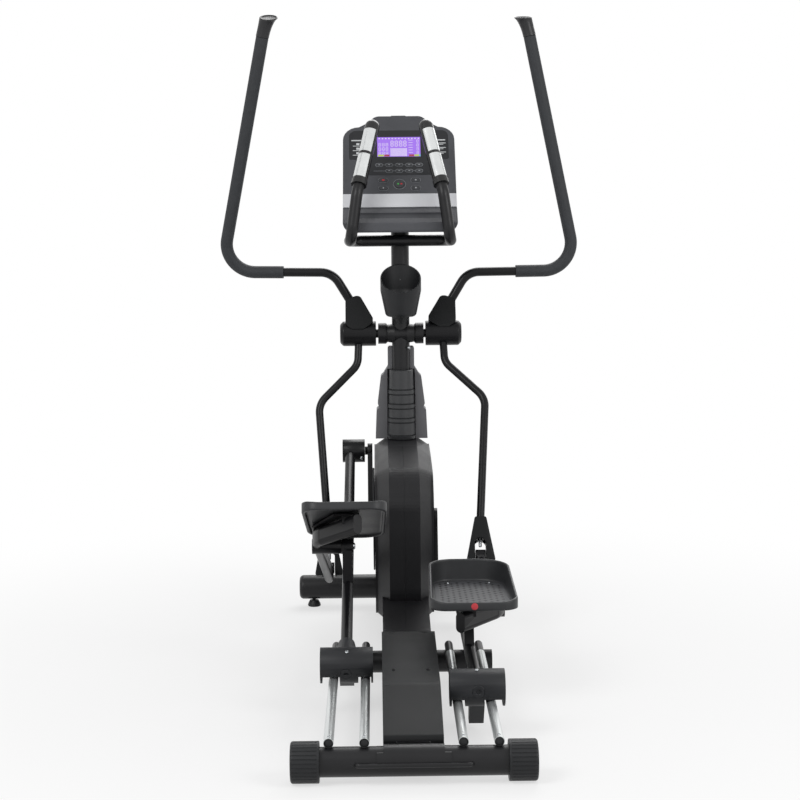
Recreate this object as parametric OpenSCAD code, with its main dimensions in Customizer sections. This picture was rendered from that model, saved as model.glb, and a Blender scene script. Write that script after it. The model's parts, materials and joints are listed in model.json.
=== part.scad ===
// Elliptical trainer with a front crank, rollers on two pairs of rear rails and swinging arms.
// X points to the user's right, Y forward and Z up. The origin is on the floor, below the middle.

/* [Stabilisers and spine] */
// Length of the rear stabiliser with its end caps
rear_length = 519; // [420:1:700]
// Outer diameter of the rear stabiliser tube
rear_tube_d = 63.5; // [50:0.5:70]
// Diameter of the ribbed end caps that stand on the floor
rear_cap_d = 88; // [78:1:110]
// Length of one ribbed end cap
rear_cap_length = 61; // [40:1:80]
// Flutes around one end cap
rear_cap_flutes = 30; // [20:1:36]
// Width of the lifting rod behind the rear stabiliser
rod_w = 242; // [200:1:246]
// Distance between the two stabiliser axes
wheelbase = 1593; // [1560:1:1640]
// Length of the front stabiliser
front_length = 608; // [560:1:760]
// Outer diameter of the front stabiliser tube
front_tube_d = 70; // [60:0.5:76]
// Height of the front stabiliser axis above the floor
front_axis_z = 57; // [52:0.5:64]
// Wall of the frame tubes
frame_wall = 2.5; // [1.5:0.1:4]
// Width of the rectangular spine
spine_w = 70; // [50:1:80]
// Height of the rectangular spine
spine_h = 46; // [40:1:48]
// Underside of the spine above the floor
spine_z = 28; // [20:1:32]
// Diameter of the pads of the levelling feet
foot_d = 38; // [28:1:50]
// Distance from the centre plane to a levelling foot
foot_x = 262; // [200:1:270]

/* [Rails] */
// Distance from the centre plane to an inner rail
rail_inner_x = 104; // [98:1:108]
// Distance from the centre plane to an outer rail
rail_outer_x = 179; // [174:1:190]
// Outer diameter of the bright rail sleeve
rail_d = 22; // [18:0.5:24]
// Thickness of the bright rail sleeve
rail_sleeve_wall = 0.7; // [0.5:0.1:1.5]
// Length of a rail tube
rail_length = 800; // [780:1:830]
// Distance of the cross tube under the rails from the rear stabiliser
cross_y = 778; // [765:1:790]
// Outer diameter of the cross tube under the rails
cross_d = 55; // [45:0.5:60]
// Length of the cross tube under the rails
cross_length = 424; // [400:1:460]

/* [Rollers and foot bars] */
// Running radius of a roller
roller_r = 22; // [18:0.5:26]
// Width of a roller
roller_w = 26; // [20:1:30]
// Diameter of the roller axle
roller_axle_d = 16; // [12:0.5:18]
// Distance from the centre plane to a foot bar
bar_x = 149; // [144:1:152]
// Outer diameter of a foot bar
bar_d = 28; // [22:0.5:32]
// Distance of a roller from the rear stabiliser in the middle of its stroke
roller_rest = 357; // [345:1:369]
// Distance along a foot bar from the crank pin back to the pedal arm bracket
bracket_back = 700; // [680:1:715]
// Height of the pedal arm pivot above the foot bar
bracket_h = 90; // [80:1:100]
// Outer diameter of the cover over the rollers
roller_cover_d = 84; // [80:1:90]
// Length of the cover over the rollers
roller_cover_w = 124; // [120:1:126]

/* [Crank and drive] */
// Height of the crank axle above the floor
crank_z = 285; // [275:1:295]
// Distance of the crank axle behind the front stabiliser
crank_back = 136; // [128:1:143]
// Radius of the crank
crank_r = 200; // [185:1:205]
// Angle of the left crank above the forward direction at rest
crank_angle = 69; // [60:1:80]
// Diameter of the crank axle
crank_axle_d = 25; // [20:0.5:28]
// Diameter of the crank cover discs
disc_d = 292; // [240:1:320]
// Outer diameter of the bearing housing at the crank pin
pin_housing_d = 66; // [56:1:72]
// Diameter of the driven pulley on the crank axle
pulley_d = 270; // [220:1:276]
// Diameter of the small pulley on the flywheel axle
small_pulley_d = 54; // [40:1:60]
// Diameter of the flywheel
flywheel_d = 310; // [260:1:320]
// Thickness of the flywheel
flywheel_t = 32; // [16:1:36]
// Distance of the flywheel axle behind the crank axle
flywheel_back = 205; // [200:1:208]

/* [Pedals] */
// Length of the pedal arm between its two pivots
arm_length = 505; // [495:1:515]
// Height of the oval pedal arm tube
arm_h = 48; // [40:1:50]
// Width of the oval pedal arm tube
arm_w = 24; // [20:1:28]
// Width of a pedal
pedal_w = 210; // [180:1:214]
// Length of a pedal
pedal_l = 330; // [290:1:340]
// Height of the toe wall of a pedal
pedal_h = 66; // [50:1:90]
// Wall of a pedal
pedal_wall = 7; // [4:0.5:9]
// Height of the rear lip of a pedal
pedal_lip = 24; // [18:1:34]

/* [Mast and swing arms] */
// Height of the swing arm pivot above the floor
pivot_z = 811; // [800:1:830]
// Distance of the mast behind the front stabiliser
mast_back = 58; // [53:1:63]
// Outer diameter of the mast tube
mast_d = 50.8; // [45:0.1:54]
// Diameter of the pivot axle
pivot_d = 25; // [20:0.5:30]
// Outer diameter of the swing arm hubs
hub_d = 71; // [62:1:76]
// Length of a swing arm hub
hub_length = 100; // [90:1:104]
// Distance from the centre plane to the inner face of a hub
hub_x = 71; // [69:0.5:76]
// Radius from the pivot to the fork pin
swing_r = 675; // [665:1:685]
// Diameter of the lower swing arm tube
swing_tube_d = 22; // [18:0.5:25.4]
// Diameter of the upper handle tube
handle_d = 25.4; // [22:0.1:28]
// Diameter of the foam grips
foam_d = 35; // [31:0.5:38]
// Distance from the centre plane to the fork
fork_x = 208; // [204:1:212]

/* [Housing] */
// Width of the housing
housing_w = 158; // [150:1:160]
// Width of the flat band around the housing
housing_band = 82; // [60:1:100]
// Wall of the housing
housing_wall = 3.5; // [2.5:0.1:5]
// Height of the top of the housing above the floor
housing_top = 506; // [500:1:520]

/* [Console and fixed handlebar] */
// Width of the console at its lower edge
console_w = 321; // [300:1:340]
// Angle of the console face to the horizontal
console_tilt = 52; // [46:1:58]
// Thickness of the console body behind its face
console_t = 46; // [36:1:60]
// Diameter of the fixed handlebar tube
bar_tube_d = 32; // [28:0.5:34]
// Diameter of the pulse grips
pulse_d = 41; // [37:0.5:44]
// Travel of a console key
key_travel = 1.2; // [0.6:0.1:2]
// Diameter of the rim of the cup holder
cup_d = 115; // [100:1:122]
// Height of the cup holder
cup_h = 146; // [136:1:156]

/* [Hidden] */

$fn = 48;
fit = 0.05;         // radial clearance of a shaft in its bore
gap = 0.3;          // clearance between neighbouring pieces
side_gap = 0.5;     // axial clearance between pieces that turn against each other
left = -1;
right = 1;

crank_y = wheelbase - crank_back;
mast_y = wheelbase - mast_back;
bar_length = crank_y - roller_rest;
bracket_y = bar_length - bracket_back;
beyond = 2 * wheelbase; // longer than anything it cuts

rear_axis_z = rear_cap_d / 2;
reach_back = rear_cap_d / 2;
console_y = mast_y - 73;
console_z = 1172;
crown_v = 330;
tab_x = 20;
tab_h = 2;
face_t = 10;
back_share = 0.8;
back_shift = 32;
back_v = back_shift + back_share * (crown_v + tab_h);
reach_front = console_y + back_v * cos(console_tilt) + (face_t + console_t) * sin(console_tilt);
centre_y = (reach_front - reach_back) / 2;
spine_top = spine_z + spine_h;

rail_tube_r = rail_d / 2 - rail_sleeve_wall - 0.1;
rail_z = rear_axis_z + rear_tube_d / 2 + gap + rail_tube_r;
rail_back = -8;
cross_z = rail_z - rail_tube_r - gap - cross_d / 2;
axle_z = rail_z + rail_d / 2 + gap + roller_r;

// Linkage at rest. side is left or right; the left crank points up and forward, the right one opposite.
function half(side) = side == left ? 1 : -1;
function pin_y(side) = crank_y + half(side) * crank_r * cos(crank_angle);
function pin_z(side) = crank_z + half(side) * crank_r * sin(crank_angle);
function bar_tilt(side) = asin((pin_z(side) - axle_z) / bar_length);
function axle_y(side) = pin_y(side) - bar_length * cos(bar_tilt(side));
function joint_y(side) = axle_y(side) + bracket_y * cos(bar_tilt(side)) - bracket_h * sin(bar_tilt(side));
function joint_z(side) = axle_z + bracket_y * sin(bar_tilt(side)) + bracket_h * cos(bar_tilt(side));
function reach(side) = norm([mast_y - joint_y(side), pivot_z - joint_z(side)]);
function reach_angle(side) = atan2(pivot_z - joint_z(side), mast_y - joint_y(side));
function arm_pitch(side) = reach_angle(side)
    - acos((arm_length ^ 2 + reach(side) ^ 2 - swing_r ^ 2) / (2 * arm_length * reach(side)));
function fork_y(side) = joint_y(side) + arm_length * cos(arm_pitch(side));
function fork_z(side) = joint_z(side) + arm_length * sin(arm_pitch(side));
function swing(side) = atan2(mast_y - fork_y(side), pivot_z - fork_z(side));

module place() translate([0, -centre_y, 0]) children();
module sided(side) mirror([side == left ? 1 : 0, 0, 0]) children();
module both() for (side = [left, right]) sided(side) children();
// Frames that move with a linkage piece: Y runs along the piece, X outward.
module bar_frame(side) place() sided(side) translate([0, axle_y(side), axle_z])
    rotate([bar_tilt(side), 0, 0]) children();
module arm_frame(side) place() sided(side) translate([0, joint_y(side), joint_z(side)])
    rotate([arm_pitch(side), 0, 0]) children();
module swing_frame(side) place() sided(side) translate([0, mast_y, pivot_z])
    rotate([-swing(side), 0, 0]) children();

function unit(v) = v / norm(v);
// A cylinder, or with bore a tube, whose axis runs along X from x0 to x1.
module shaft(x0, x1, d, bore = 0, fn = 48) translate([x0, 0, 0]) rotate([0, 90, 0]) {
    difference() {
        cylinder(h = x1 - x0, d = d, $fn = fn);
        if (bore > 0) translate([0, 0, -1]) cylinder(h = x1 - x0 + 2, d = bore, $fn = fn);
    }
}
// A block from the corner lo to the corner hi.
module block(lo, hi) translate(lo) cube(hi - lo);

// Tube along points p with a bend of radius r at each inner point. The straight lengths lap a
// little into the bends, which are a hair wider, so that no two surfaces only just touch.
lap = 1;
hair = 0.1;
module stretch(a, b, d) {
    z = unit(b - a);
    x = unit(cross(z, abs(z[1]) < 0.9 ? [0, 1, 0] : [1, 0, 0]));
    y = cross(z, x);
    multmatrix([[x[0], y[0], z[0], a[0]], [x[1], y[1], z[1], a[1]], [x[2], y[2], z[2], a[2]]])
        cylinder(h = norm(b - a), d = d);
}
function turn(p, i) = acos(unit(p[i] - p[i - 1]) * unit(p[i + 1] - p[i]));
function cut(p, r, i) = i == 0 || i == len(p) - 1 ? 0 : r[i - 1] * tan(turn(p, i) / 2);
module elbow(p, r, i) {
    into = unit(p[i] - p[i - 1]);
    out = unit(p[i + 1] - p[i]);
    x = unit(into * (into * out) - out);
    z = cross(x, into);
    centre = p[i] - into * cut(p, r, i) - x * r[i - 1];
    multmatrix([[x[0], into[0], z[0], centre[0]], [x[1], into[1], z[1], centre[1]],
            [x[2], into[2], z[2], centre[2]]])
        rotate_extrude(angle = turn(p, i)) translate([r[i - 1], 0]) children();
}
module run(p, r, d, grow, past) {
    last = len(p) - 1;
    for (i = [0 : last - 1]) {
        u = unit(p[i + 1] - p[i]);
        from = p[i] + u * (cut(p, r, i) - (i == 0 ? past : lap));
        to = p[i + 1] - u * (cut(p, r, i + 1) - (i == last - 1 ? past : lap));
        stretch(from, to, d);
    }
    if (last > 1) for (i = [1 : last - 1]) elbow(p, r, i) circle(d = d + grow);
}
module bent_tube(p, r, d, bore = 0) difference() {
    run(p, r, d, hair, 0);
    if (bore > 0) run(p, r, bore, -hair, lap);
}

// Corner points of a polygon with each corner i rounded to radius r[i] by n + 1 points.
function corner(p, r, i, n) =
    let (a = p[(i + len(p) - 1) % len(p)], b = p[i], c = p[(i + 1) % len(p)],
        u = unit(a - b), v = unit(c - b), bend = acos(u * v) / 2,
        middle = b + unit(u + v) * (r[i] / sin(bend)),
        side = sign(u[0] * v[1] - u[1] * v[0]), from = b + u * (r[i] / tan(bend)) - middle)
    r[i] == 0 ? [b] : [for (k = [0 : n]) let (t = -side * (180 - 2 * bend) * k / n)
        middle + [from[0] * cos(t) - from[1] * sin(t), from[0] * sin(t) + from[1] * cos(t)]];
function rounded(p, r, n = 6) = [for (i = [0 : len(p) - 1]) each corner(p, r, i, n)];
// Points moved towards a centre c, by inset[0] where they lie level with it and inset[1] above it.
function shrunk(p, c, inset) = [for (q = p) let (u = unit(q - c)) q - [u[0] * inset[0], u[1] * inset[1]]];
// Side outlines lie in the YZ plane and are extruded along X.
module side_plate(x0, x1, p) translate([x0, 0, 0]) rotate([90, 0, 90]) linear_extrude(x1 - x0) polygon(p);

// ---- frame -------------------------------------------------------------------------------------
saddle_w = 156;
saddle_t = 4;
upright_w = 34;
cheek_x = 24;
cheek_t = 5;
flywheel_y = crank_y - flywheel_back;
bearing_shell_d = 48;
foot_half = 32;
foot_front = 22;
mast_low = spine_top + 8;
flywheel_axle_d = 17;
web = 4;
vent_d = 6;
spine_from = rear_tube_d / 2 + 1;
spine_to = wheelbase - front_tube_d / 2 - gap;
// Rectangular spine, closed at both ends and vented below.
module main_frame() color("#232326") place() difference() {
    block([-spine_w / 2, spine_from, spine_z], [spine_w / 2, spine_to, spine_top]);
    block([-spine_w / 2 + frame_wall, spine_from + web, spine_z + frame_wall],
        [spine_w / 2 - frame_wall, spine_to - web, spine_top - frame_wall]);
    translate([0, spine_from + 60, 0]) cylinder(h = spine_z + 10, d = vent_d);
}
// What is welded on the spine: saddle, cross tubes, crank post, flywheel cheeks and foot of the mast.
module frame_brackets() color("#232326") place() {
    translate([0, 0, rear_axis_z]) difference() {
        shaft(-saddle_w / 2, saddle_w / 2, rear_tube_d + 2 * saddle_t, rear_tube_d + 2 * gap);
        block([-saddle_w, -60, -60], [saddle_w, 60, -12]);
        // clear of the rails and the spine
        both() block([rail_inner_x - 40, -60, rear_tube_d / 2 - 6], [saddle_w, 60, 60]);
        block([-spine_w / 2 - gap, 0, -60], [spine_w / 2 + gap, 60, spine_top + gap - rear_axis_z]);
    }
    // cross tubes under the front of the rails
    translate([0, cross_y, cross_z]) both() difference() {
        shaft(spine_w / 2 + gap, cross_length / 2, cross_d);
        shaft(0, cross_length / 2 - web, cross_d - 2 * frame_wall);
    }
    // crank bearing on its post
    difference() {
        union() {
            block([-upright_w / 2, crank_y - 22, spine_top + gap], [upright_w / 2, crank_y + 22, crank_z]);
            translate([0, crank_y, crank_z]) shaft(-38, 38, bearing_shell_d);
        }
        translate([0, crank_y, crank_z]) shaft(-50, 50, crank_axle_d + 2 * fit);
    }
    // two cheeks that carry the flywheel axle
    for (side = [-1, 1]) difference() {
        translate([side * cheek_x - cheek_t / 2, 0, 0]) rotate([90, 0, 90]) linear_extrude(cheek_t)
            polygon([[flywheel_y - 55, spine_top + gap], [flywheel_y + 55, spine_top + gap],
                [flywheel_y + 20, crank_z + 22], [flywheel_y - 20, crank_z + 22]]);
        translate([0, flywheel_y, crank_z]) shaft(-50, 50, flywheel_axle_d + 2 * fit);
    }
    block([-foot_half, mast_y - foot_half, spine_top + gap], [foot_half, mast_y + foot_front, mast_low - gap]);
}
plug_depth = 18;
rod_d = 7;
rod_back = -rear_tube_d / 2 - rod_d - 1.5;
rod_z = 3;
// Tube with the rod across its back by which the machine is lifted.
module rear_stabiliser() color("#26262a") place() translate([0, 0, rear_axis_z]) difference() {
    union() {
        shaft(-rear_length / 2 + 8, rear_length / 2 - 8, rear_tube_d);
        translate([0, rod_back, rod_z]) shaft(-rod_w / 2, rod_w / 2, rod_d);
        both() stretch([rod_w / 2 - rod_d, rod_back, rod_z], [rod_w / 2 - rod_d, -rear_tube_d / 2 + 12, rod_z],
            rod_d - 1);
    }
    shaft(-rear_length, rear_length, rear_tube_d - 2 * frame_wall);
}
flute_d = 3;
cap_rim = 5;
// Fluted end caps with a plain rim at both ends.
module rear_caps() color("#2b2c2e") place() translate([0, 0, rear_axis_z]) both()
    translate([rear_length / 2 - rear_cap_length, 0, 0]) rotate([0, 90, 0]) difference() {
        rotate_extrude($fn = 96) polygon(rounded([[0, 0], [rear_cap_d / 2, 0], [rear_cap_d / 2, rear_cap_length],
            [0, rear_cap_length]], [0, 1.5, 6, 0]));
        for (i = [0 : rear_cap_flutes - 1]) rotate([0, 0, (i + 0.5) * 360 / rear_cap_flutes])
            translate([rear_cap_d / 2 + 0.3, 0, cap_rim]) cylinder(h = rear_cap_length, d = flute_d, $fn = 16);
        translate([0, 0, -1]) cylinder(h = rear_cap_length - 7 + gap, d = rear_tube_d + 2 * gap);
    }
module front_stabiliser() color("#1e1e20") place() translate([0, wheelbase, front_axis_z]) difference() {
    union() {
        shaft(-front_length / 2 + 22, front_length / 2 - 22, front_tube_d);
        // moulded end plugs with a rounded rim
        both() translate([front_length / 2 - 22, 0, 0]) rotate([0, 90, 0]) rotate_extrude($fn = 64)
            polygon(rounded([[0, -plug_depth], [front_tube_d / 2 - 3, -plug_depth], [front_tube_d / 2, 0],
                [front_tube_d / 2, 22], [0, 22]], [0, 0, 0, 12, 0]));
    }
    shaft(-front_length / 2 + 24, front_length / 2 - 24, front_tube_d - 2 * frame_wall);
    both() translate([foot_x, 0, -front_tube_d]) cylinder(h = front_tube_d, d = foot_stud_d + 2 * fit);
}
foot_stud_d = 10;
foot_pad_h = front_axis_z - front_tube_d / 2 - 4;
module foot(side) color("#1b1b1c") place() sided(side) translate([foot_x, wheelbase, 0]) {
    rotate_extrude() polygon([[0, 0], [foot_d / 2 - 1.5, 0], [foot_d / 2, 2], [foot_d / 2 - 1, 8],
        [foot_d / 3, foot_pad_h], [0, foot_pad_h]]);
    translate([0, 0, foot_pad_h - 1]) cylinder(h = front_axis_z - foot_pad_h - 8, d = foot_stud_d);
}
rail_spots = [rail_inner_x, rail_outer_x];
module rail_tubes() color("#202022") place() both() for (x = rail_spots) translate([x, 0, 0]) {
    translate([0, rail_back, rail_z]) rotate([-90, 0, 0]) difference() {
        cylinder(h = rail_length, r = rail_tube_r);
        translate([0, 0, -1]) cylinder(h = rail_length - 11, r = rail_tube_r - 1.5);
    }
    // ball end over the cross tube
    translate([0, rail_back + rail_length, rail_z]) sphere(r = rail_tube_r - 0.05);
}
sleeve_end = rail_back + rail_length - 92;
// Bright sleeve that wraps the upper three quarters of each rail tube.
module rail_sleeves() color("#d6d9da") place() both() for (x = rail_spots)
    translate([x, rail_back, rail_z]) rotate([-90, 0, 0]) linear_extrude(sleeve_end - rail_back) difference() {
        circle(d = rail_d);
        circle(r = rail_tube_r + 0.1);
        translate([-rail_d, rail_d * 0.33]) square(2 * rail_d);
    }

// ---- mast --------------------------------------------------------------------------------------
mast_top = 1210;
collar_d = 60;
collar_x = hub_x - 6;
hub_end = hub_x + hub_length;
// Mast tube with a flared hub and the axle of the swing arms welded through it.
module mast() color("#1f1f21") place() translate([0, mast_y, 0]) difference() {
    union() {
        translate([0, 0, mast_low]) cylinder(h = mast_top - mast_low, d = mast_d);
        translate([0, 0, pivot_z]) rotate([0, 90, 0]) rotate_extrude($fn = 64) polygon([[0, -collar_x],
            [collar_d / 2, -collar_x], [collar_d / 2, -collar_x + 22], [collar_d / 2 - 5, -collar_x + 27],
            [collar_d / 2 - 2, -18], [collar_d / 2 - 2, 18], [collar_d / 2 - 5, collar_x - 27],
            [collar_d / 2, collar_x - 22], [collar_d / 2, collar_x], [0, collar_x]]);
        translate([0, 0, pivot_z]) shaft(-hub_end + 4, hub_end - 4, pivot_d);
    }
    translate([0, 0, mast_low - 2])
        cylinder(h = pivot_z - collar_d / 2 - mast_low - 6, d = mast_d - 2 * frame_wall);
    translate([0, 0, pivot_z + collar_d / 2 + 8]) cylinder(h = mast_top - pivot_z, d = mast_d - 2 * frame_wall);
}

// ---- housing -----------------------------------------------------------------------------------
housing_back = wheelbase - 554;
housing_low = 62;
housing_nose = wheelbase + 47;
nose_step = front_axis_z + front_tube_d / 2 + 5;
outline = rounded([[housing_back + 70, housing_low], [housing_back, housing_low + 74],
        [housing_back, housing_top - 96], [housing_back + 78, housing_top - 26],
        [housing_back + 336, housing_top], [housing_nose - 30, housing_top],
        [housing_nose, housing_top - 90], [housing_nose - 6, nose_step],
        [wheelbase - front_tube_d / 2 - 12, nose_step], [wheelbase - front_tube_d / 2 - 20, housing_low]],
    [40, 90, 60, 110, 60, 40, 60, 14, 6, 6]);
hub_of_outline = [housing_back + 300, (housing_top + housing_low) / 2];
bevel = [60, 26];
band_x = housing_band / 2;
side_x = housing_w / 2;
side_lip = 5;
notch_y = wheelbase - front_tube_d / 2 - 12;
module housing_solid(wall) difference() {
    skin = shrunk(outline, hub_of_outline, [wall, wall]);
    flank = shrunk(outline, hub_of_outline, bevel + [wall, wall]);
    union() {
        side_plate(-1, band_x - 0.8 * wall, skin);
        hull() {
            side_plate(band_x - 1 - 0.8 * wall, band_x - 0.8 * wall, skin);
            side_plate(side_x - side_lip - wall - 1, side_x - side_lip - wall, flank);
        }
        side_plate(side_x - side_lip - wall - 0.5, side_x - wall, flank);
    }
    // step over the front stabiliser
    block([-2, notch_y - wall, 0], [housing_w, housing_nose + 50, nose_step + wall]);
}
tail_x = 61;
tail_back = 650;
tail_top = 122;
tail_low = spine_z + 2;
module tail(wall) side_plate(-1, tail_x - wall, rounded([[tail_back + wall, tail_low - 2 * wall],
    [tail_back + wall, tail_top - wall], [tail_back + 200, tail_top - 10 - wall],
    [housing_back + 60, tail_top + 26 - wall], [housing_back + 90, tail_low - 2 * wall]], [0, 12, 160, 0, 0]));
// One half of the housing. The seam lies on the centre plane.
module housing_half(side) color("#3a3b3e") place() sided(side) difference() {
    union() {
        housing_solid(0);
        tail(0);
    }
    housing_solid(housing_wall);
    tail(housing_wall);
    block([-side_x, 0, 0], [gap / 2, beyond, beyond]);
    // way for the spine, the cross tube, the mast and the crank axle
    block([-1, 0, 0], [spine_w / 2 + gap, beyond, spine_top + gap]);
    translate([0, cross_y, cross_z]) shaft(-1, cross_length, cross_d + 2 * gap);
    translate([0, mast_y, 0]) cylinder(h = beyond, d = mast_d + 2 * gap);
    block([-1, mast_y - foot_half - gap, 0], [foot_half + gap, mast_y + foot_front + gap, mast_low]);
    translate([0, crank_y, crank_z]) shaft(side_x - 20, side_x + 20, crank_axle_d + 6);
}
boot_low = housing_top + gap;
boot_high = pivot_z - 103;
boot_shift = 10;
boot_shares = [0.0645, 0.1834, 0.0645, 0.1339, 0.0694, 0.1339, 0.0694, 0.281];
boot_steps = boot_shares * (boot_high - boot_low);
function boot_z(i) = i == 0 ? 0 : boot_z(i - 1) + boot_steps[i - 1];
function boot_r(i) = 40 - 6 * boot_z(i) / (boot_high - boot_low) - (i == 0 ? 3 : 0);
boot_groove = 2.5;
// Ribbed boot round the user's side of the mast, a little wider towards its top.
module mast_boot() color("#3c3d41") place() translate([0, mast_y - boot_shift, boot_low]) difference() {
    rotate_extrude($fn = 64) polygon(concat([[0, 0]], [for (i = [0 : len(boot_steps) - 1])
        let (proud = i % 2 == 0 ? 1.5 : 0)
        each [[boot_r(i) - boot_groove, boot_z(i)], [boot_r(i) + proud, boot_z(i) + 2],
            [boot_r(i + 1) + proud, boot_z(i + 1) - 2], [boot_r(i + 1) - boot_groove, boot_z(i + 1) - 0.6]]],
        [[0, boot_high - boot_low - 0.6]]));
    translate([0, boot_shift, -1]) cylinder(h = beyond, d = mast_d + 2 * gap);
}

shroud_low = housing_top + gap;
shroud_half = [[75, 0], [71.5, 0.31], [64, 0.335], [68, 0.38], [58, 0.675], [51, 0.70], [38, 0.78], [38, 1]];
shroud_h = pivot_z - hub_d / 2 - 1.5 - shroud_low;
shroud_front = concat([for (p = shroud_half) [p[0], p[1] * shroud_h]],
    [for (i = [len(shroud_half) - 1 : -1 : 0]) [-shroud_half[i][0], shroud_half[i][1] * shroud_h]]);
// Stepped shroud that rises in front of the mast.
module mast_shroud() color("#4a4b4f") place() difference() {
    intersection() {
        translate([0, housing_nose, shroud_low]) rotate([90, 0, 0]) linear_extrude(200)
            polygon(rounded(shroud_front, [0, 6, 2, 6, 8, 3, 10, 8, 8, 10, 3, 8, 6, 2, 6, 0]));
        side_plate(-housing_w, housing_w, rounded([[mast_y - 4, shroud_low], [housing_nose - 32, shroud_low],
            [housing_nose - 46, shroud_low + 0.35 * shroud_h], [housing_nose - 64, shroud_low + shroud_h],
            [mast_y + 4, shroud_low + shroud_h]], [0, 10, 60, 20, 4]));
    }
    translate([0, mast_y, 0]) cylinder(h = beyond, d = mast_d + 2 * gap);
    translate([0, mast_y - boot_shift, 0]) cylinder(h = boot_high + gap, r = boot_r(1) + 1.5 + gap);
}
cover_x = 64.5;
cover_wall = 3;
cover_top = 160;
cover_bend = 238;
cover_front = tail_back - gap;
cover_back = rear_tube_d / 2 + saddle_t + gap + 3;
cover_low = spine_z;
function cover_side(wall) = [[cover_back + wall, cover_low - 5 * wall], [cover_back + wall, spine_top + 9 - wall],
    [cover_bend + wall / 2, cover_top - 16 - wall], [cover_front - wall, cover_top - wall],
    [cover_front - wall, cover_low - 5 * wall]];
module rear_cover() color("#37383b") place() difference() {
    side_plate(-cover_x, cover_x, rounded(cover_side(0), [0, 14, 90, 10, 0]));
    side_plate(-cover_x + cover_wall, cover_x - cover_wall, rounded(cover_side(cover_wall), [0, 11, 90, 7, 0]));
    block([-spine_w / 2 - gap, 0, 0], [spine_w / 2 + gap, wheelbase, spine_top + gap]);
}
cup_y = mast_y - mast_d / 2 - cup_d / 2 - 3;
cup_low = pivot_z + 55;
cup_shoulder = cup_low + cup_h / 2;
cup_foot = cup_d / 2 - 15;
cup_bend = 30;
cup_wall = 3;
module cup_holder() color("#2b2c2e") place() difference() {
    union() {
        translate([0, cup_y, 0]) rotate_extrude($fn = 72) polygon(rounded([[0, cup_low], [cup_foot, cup_low],
            [cup_d / 2, cup_shoulder], [cup_d / 2, cup_low + cup_h], [0, cup_low + cup_h]],
            [0, 12, cup_bend, 0, 0]));
        // clamp block against the mast
        block([-24, cup_y + 30, cup_low + 12], [24, mast_y - 6, cup_low + cup_h - 32]);
        translate([0, cup_y + 18, cup_low - 22]) cylinder(h = 30, r1 = 14, r2 = 30);
    }
    translate([0, cup_y, 0]) rotate_extrude($fn = 72) polygon(rounded([[0, cup_low + 4],
        [cup_foot - cup_wall, cup_low + 4], [cup_d / 2 - cup_wall, cup_shoulder],
        [cup_d / 2 - cup_wall, cup_low + 2 * cup_h], [0, cup_low + 2 * cup_h]], [0, 10, cup_bend, 0, 0]));
    translate([0, mast_y, 0]) cylinder(h = beyond, d = mast_d + 2 * gap);
    // slanted rim, low towards the user
    translate([0, cup_y - cup_d / 2, cup_shoulder - 3]) rotate([33, 0, 0])
        block([-cup_d, -cup_d / 2, 0], [cup_d, 2 * cup_d, cup_h]);
}

// ---- console -----------------------------------------------------------------------------------
module face_frame() place() translate([0, console_y, console_z]) rotate([console_tilt, 0, 0]) children();
band_h = 47;
body_v = 290;
crown_x = 66;
crown_foot = 107;
half_w = console_w / 2;
face_points = rounded([[-half_w, 0], [half_w, 0], [half_w, body_v], [crown_foot, body_v], [crown_x, crown_v],
        [tab_x + 2, crown_v], [tab_x, crown_v + tab_h], [-tab_x, crown_v + tab_h], [-tab_x - 2, crown_v],
        [-crown_x, crown_v], [-crown_foot, body_v], [-half_w, body_v]],
    [4, 4, 46, 10, 26, 1, 0.5, 0.5, 1, 26, 10, 46]);
key_spots = [[-46, band_h + 49], [-46, band_h + 21], [46, band_h + 49], [46, band_h + 21]];
round_key = [0, band_h + 35];
oval_w = 26;
oval_h = 13;
module oval(grow) {
    square([oval_w - oval_h, oval_h + 2 * grow - 0.1], center = true);
    for (x = [-1, 1]) translate([x * (oval_w - oval_h) / 2, 0]) circle(d = oval_h + 2 * grow);
}
round_key_d = 27;
panel_lo = band_h + 68;
panel_step = band_h + 125;
panel_hi = body_v - 13;
panel_x = half_w - 18;
panel_neck = half_w - 44;
function panel_points(inset) = rounded([[-panel_neck + inset, panel_lo + inset],
        [panel_neck - inset, panel_lo + inset],
        [panel_neck - inset, panel_step + inset], [panel_x - inset, panel_step + inset],
        [panel_x - inset, panel_hi - inset], [-panel_x + inset, panel_hi - inset],
        [-panel_x + inset, panel_step + inset], [-panel_neck + inset, panel_step + inset]],
    [3, 3, 8, 4, 20, 20, 4, 8]);
module console_front() color("#4a4b4e") face_frame() difference() {
    translate([0, 0, -face_t]) linear_extrude(face_t) polygon(face_points);
    translate([0, 0, -4]) linear_extrude(10) polygon(panel_points(0));
    translate([-half_w - 1, -1, -3]) cube([console_w + 2, band_h + 1, 10]);
    for (k = key_spots) translate([k[0], k[1], -face_t - 1]) linear_extrude(face_t + 2) oval(gap);
    translate([round_key[0], round_key[1], -face_t - 1]) cylinder(h = face_t + 2, d = round_key_d + 2 * gap);
}
module display_panel() color("#2b2c30") face_frame() translate([0, 0, -4 + 0.05]) linear_extrude(4.5)
    polygon(panel_points(gap));
module trim_band() color("#c8c9cc") face_frame() {
    translate([0, 0, -3 + gap]) linear_extrude(5) polygon(rounded([[-half_w, 0.3], [half_w, 0.3],
        [half_w, band_h - gap], [-half_w, band_h - gap]], [2, 2, 2, 2]));
}
module key(k) color("#3a3b3f") face_frame() translate([k[0], k[1], -face_t + key_travel + gap])
    linear_extrude(face_t + 1.6 - key_travel) oval(0);
module console_key_round() color("#5a5b5e") face_frame()
    translate([round_key[0], round_key[1], -face_t + key_travel + gap])
    cylinder(h = face_t + 1.6 - key_travel, d = round_key_d);
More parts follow.
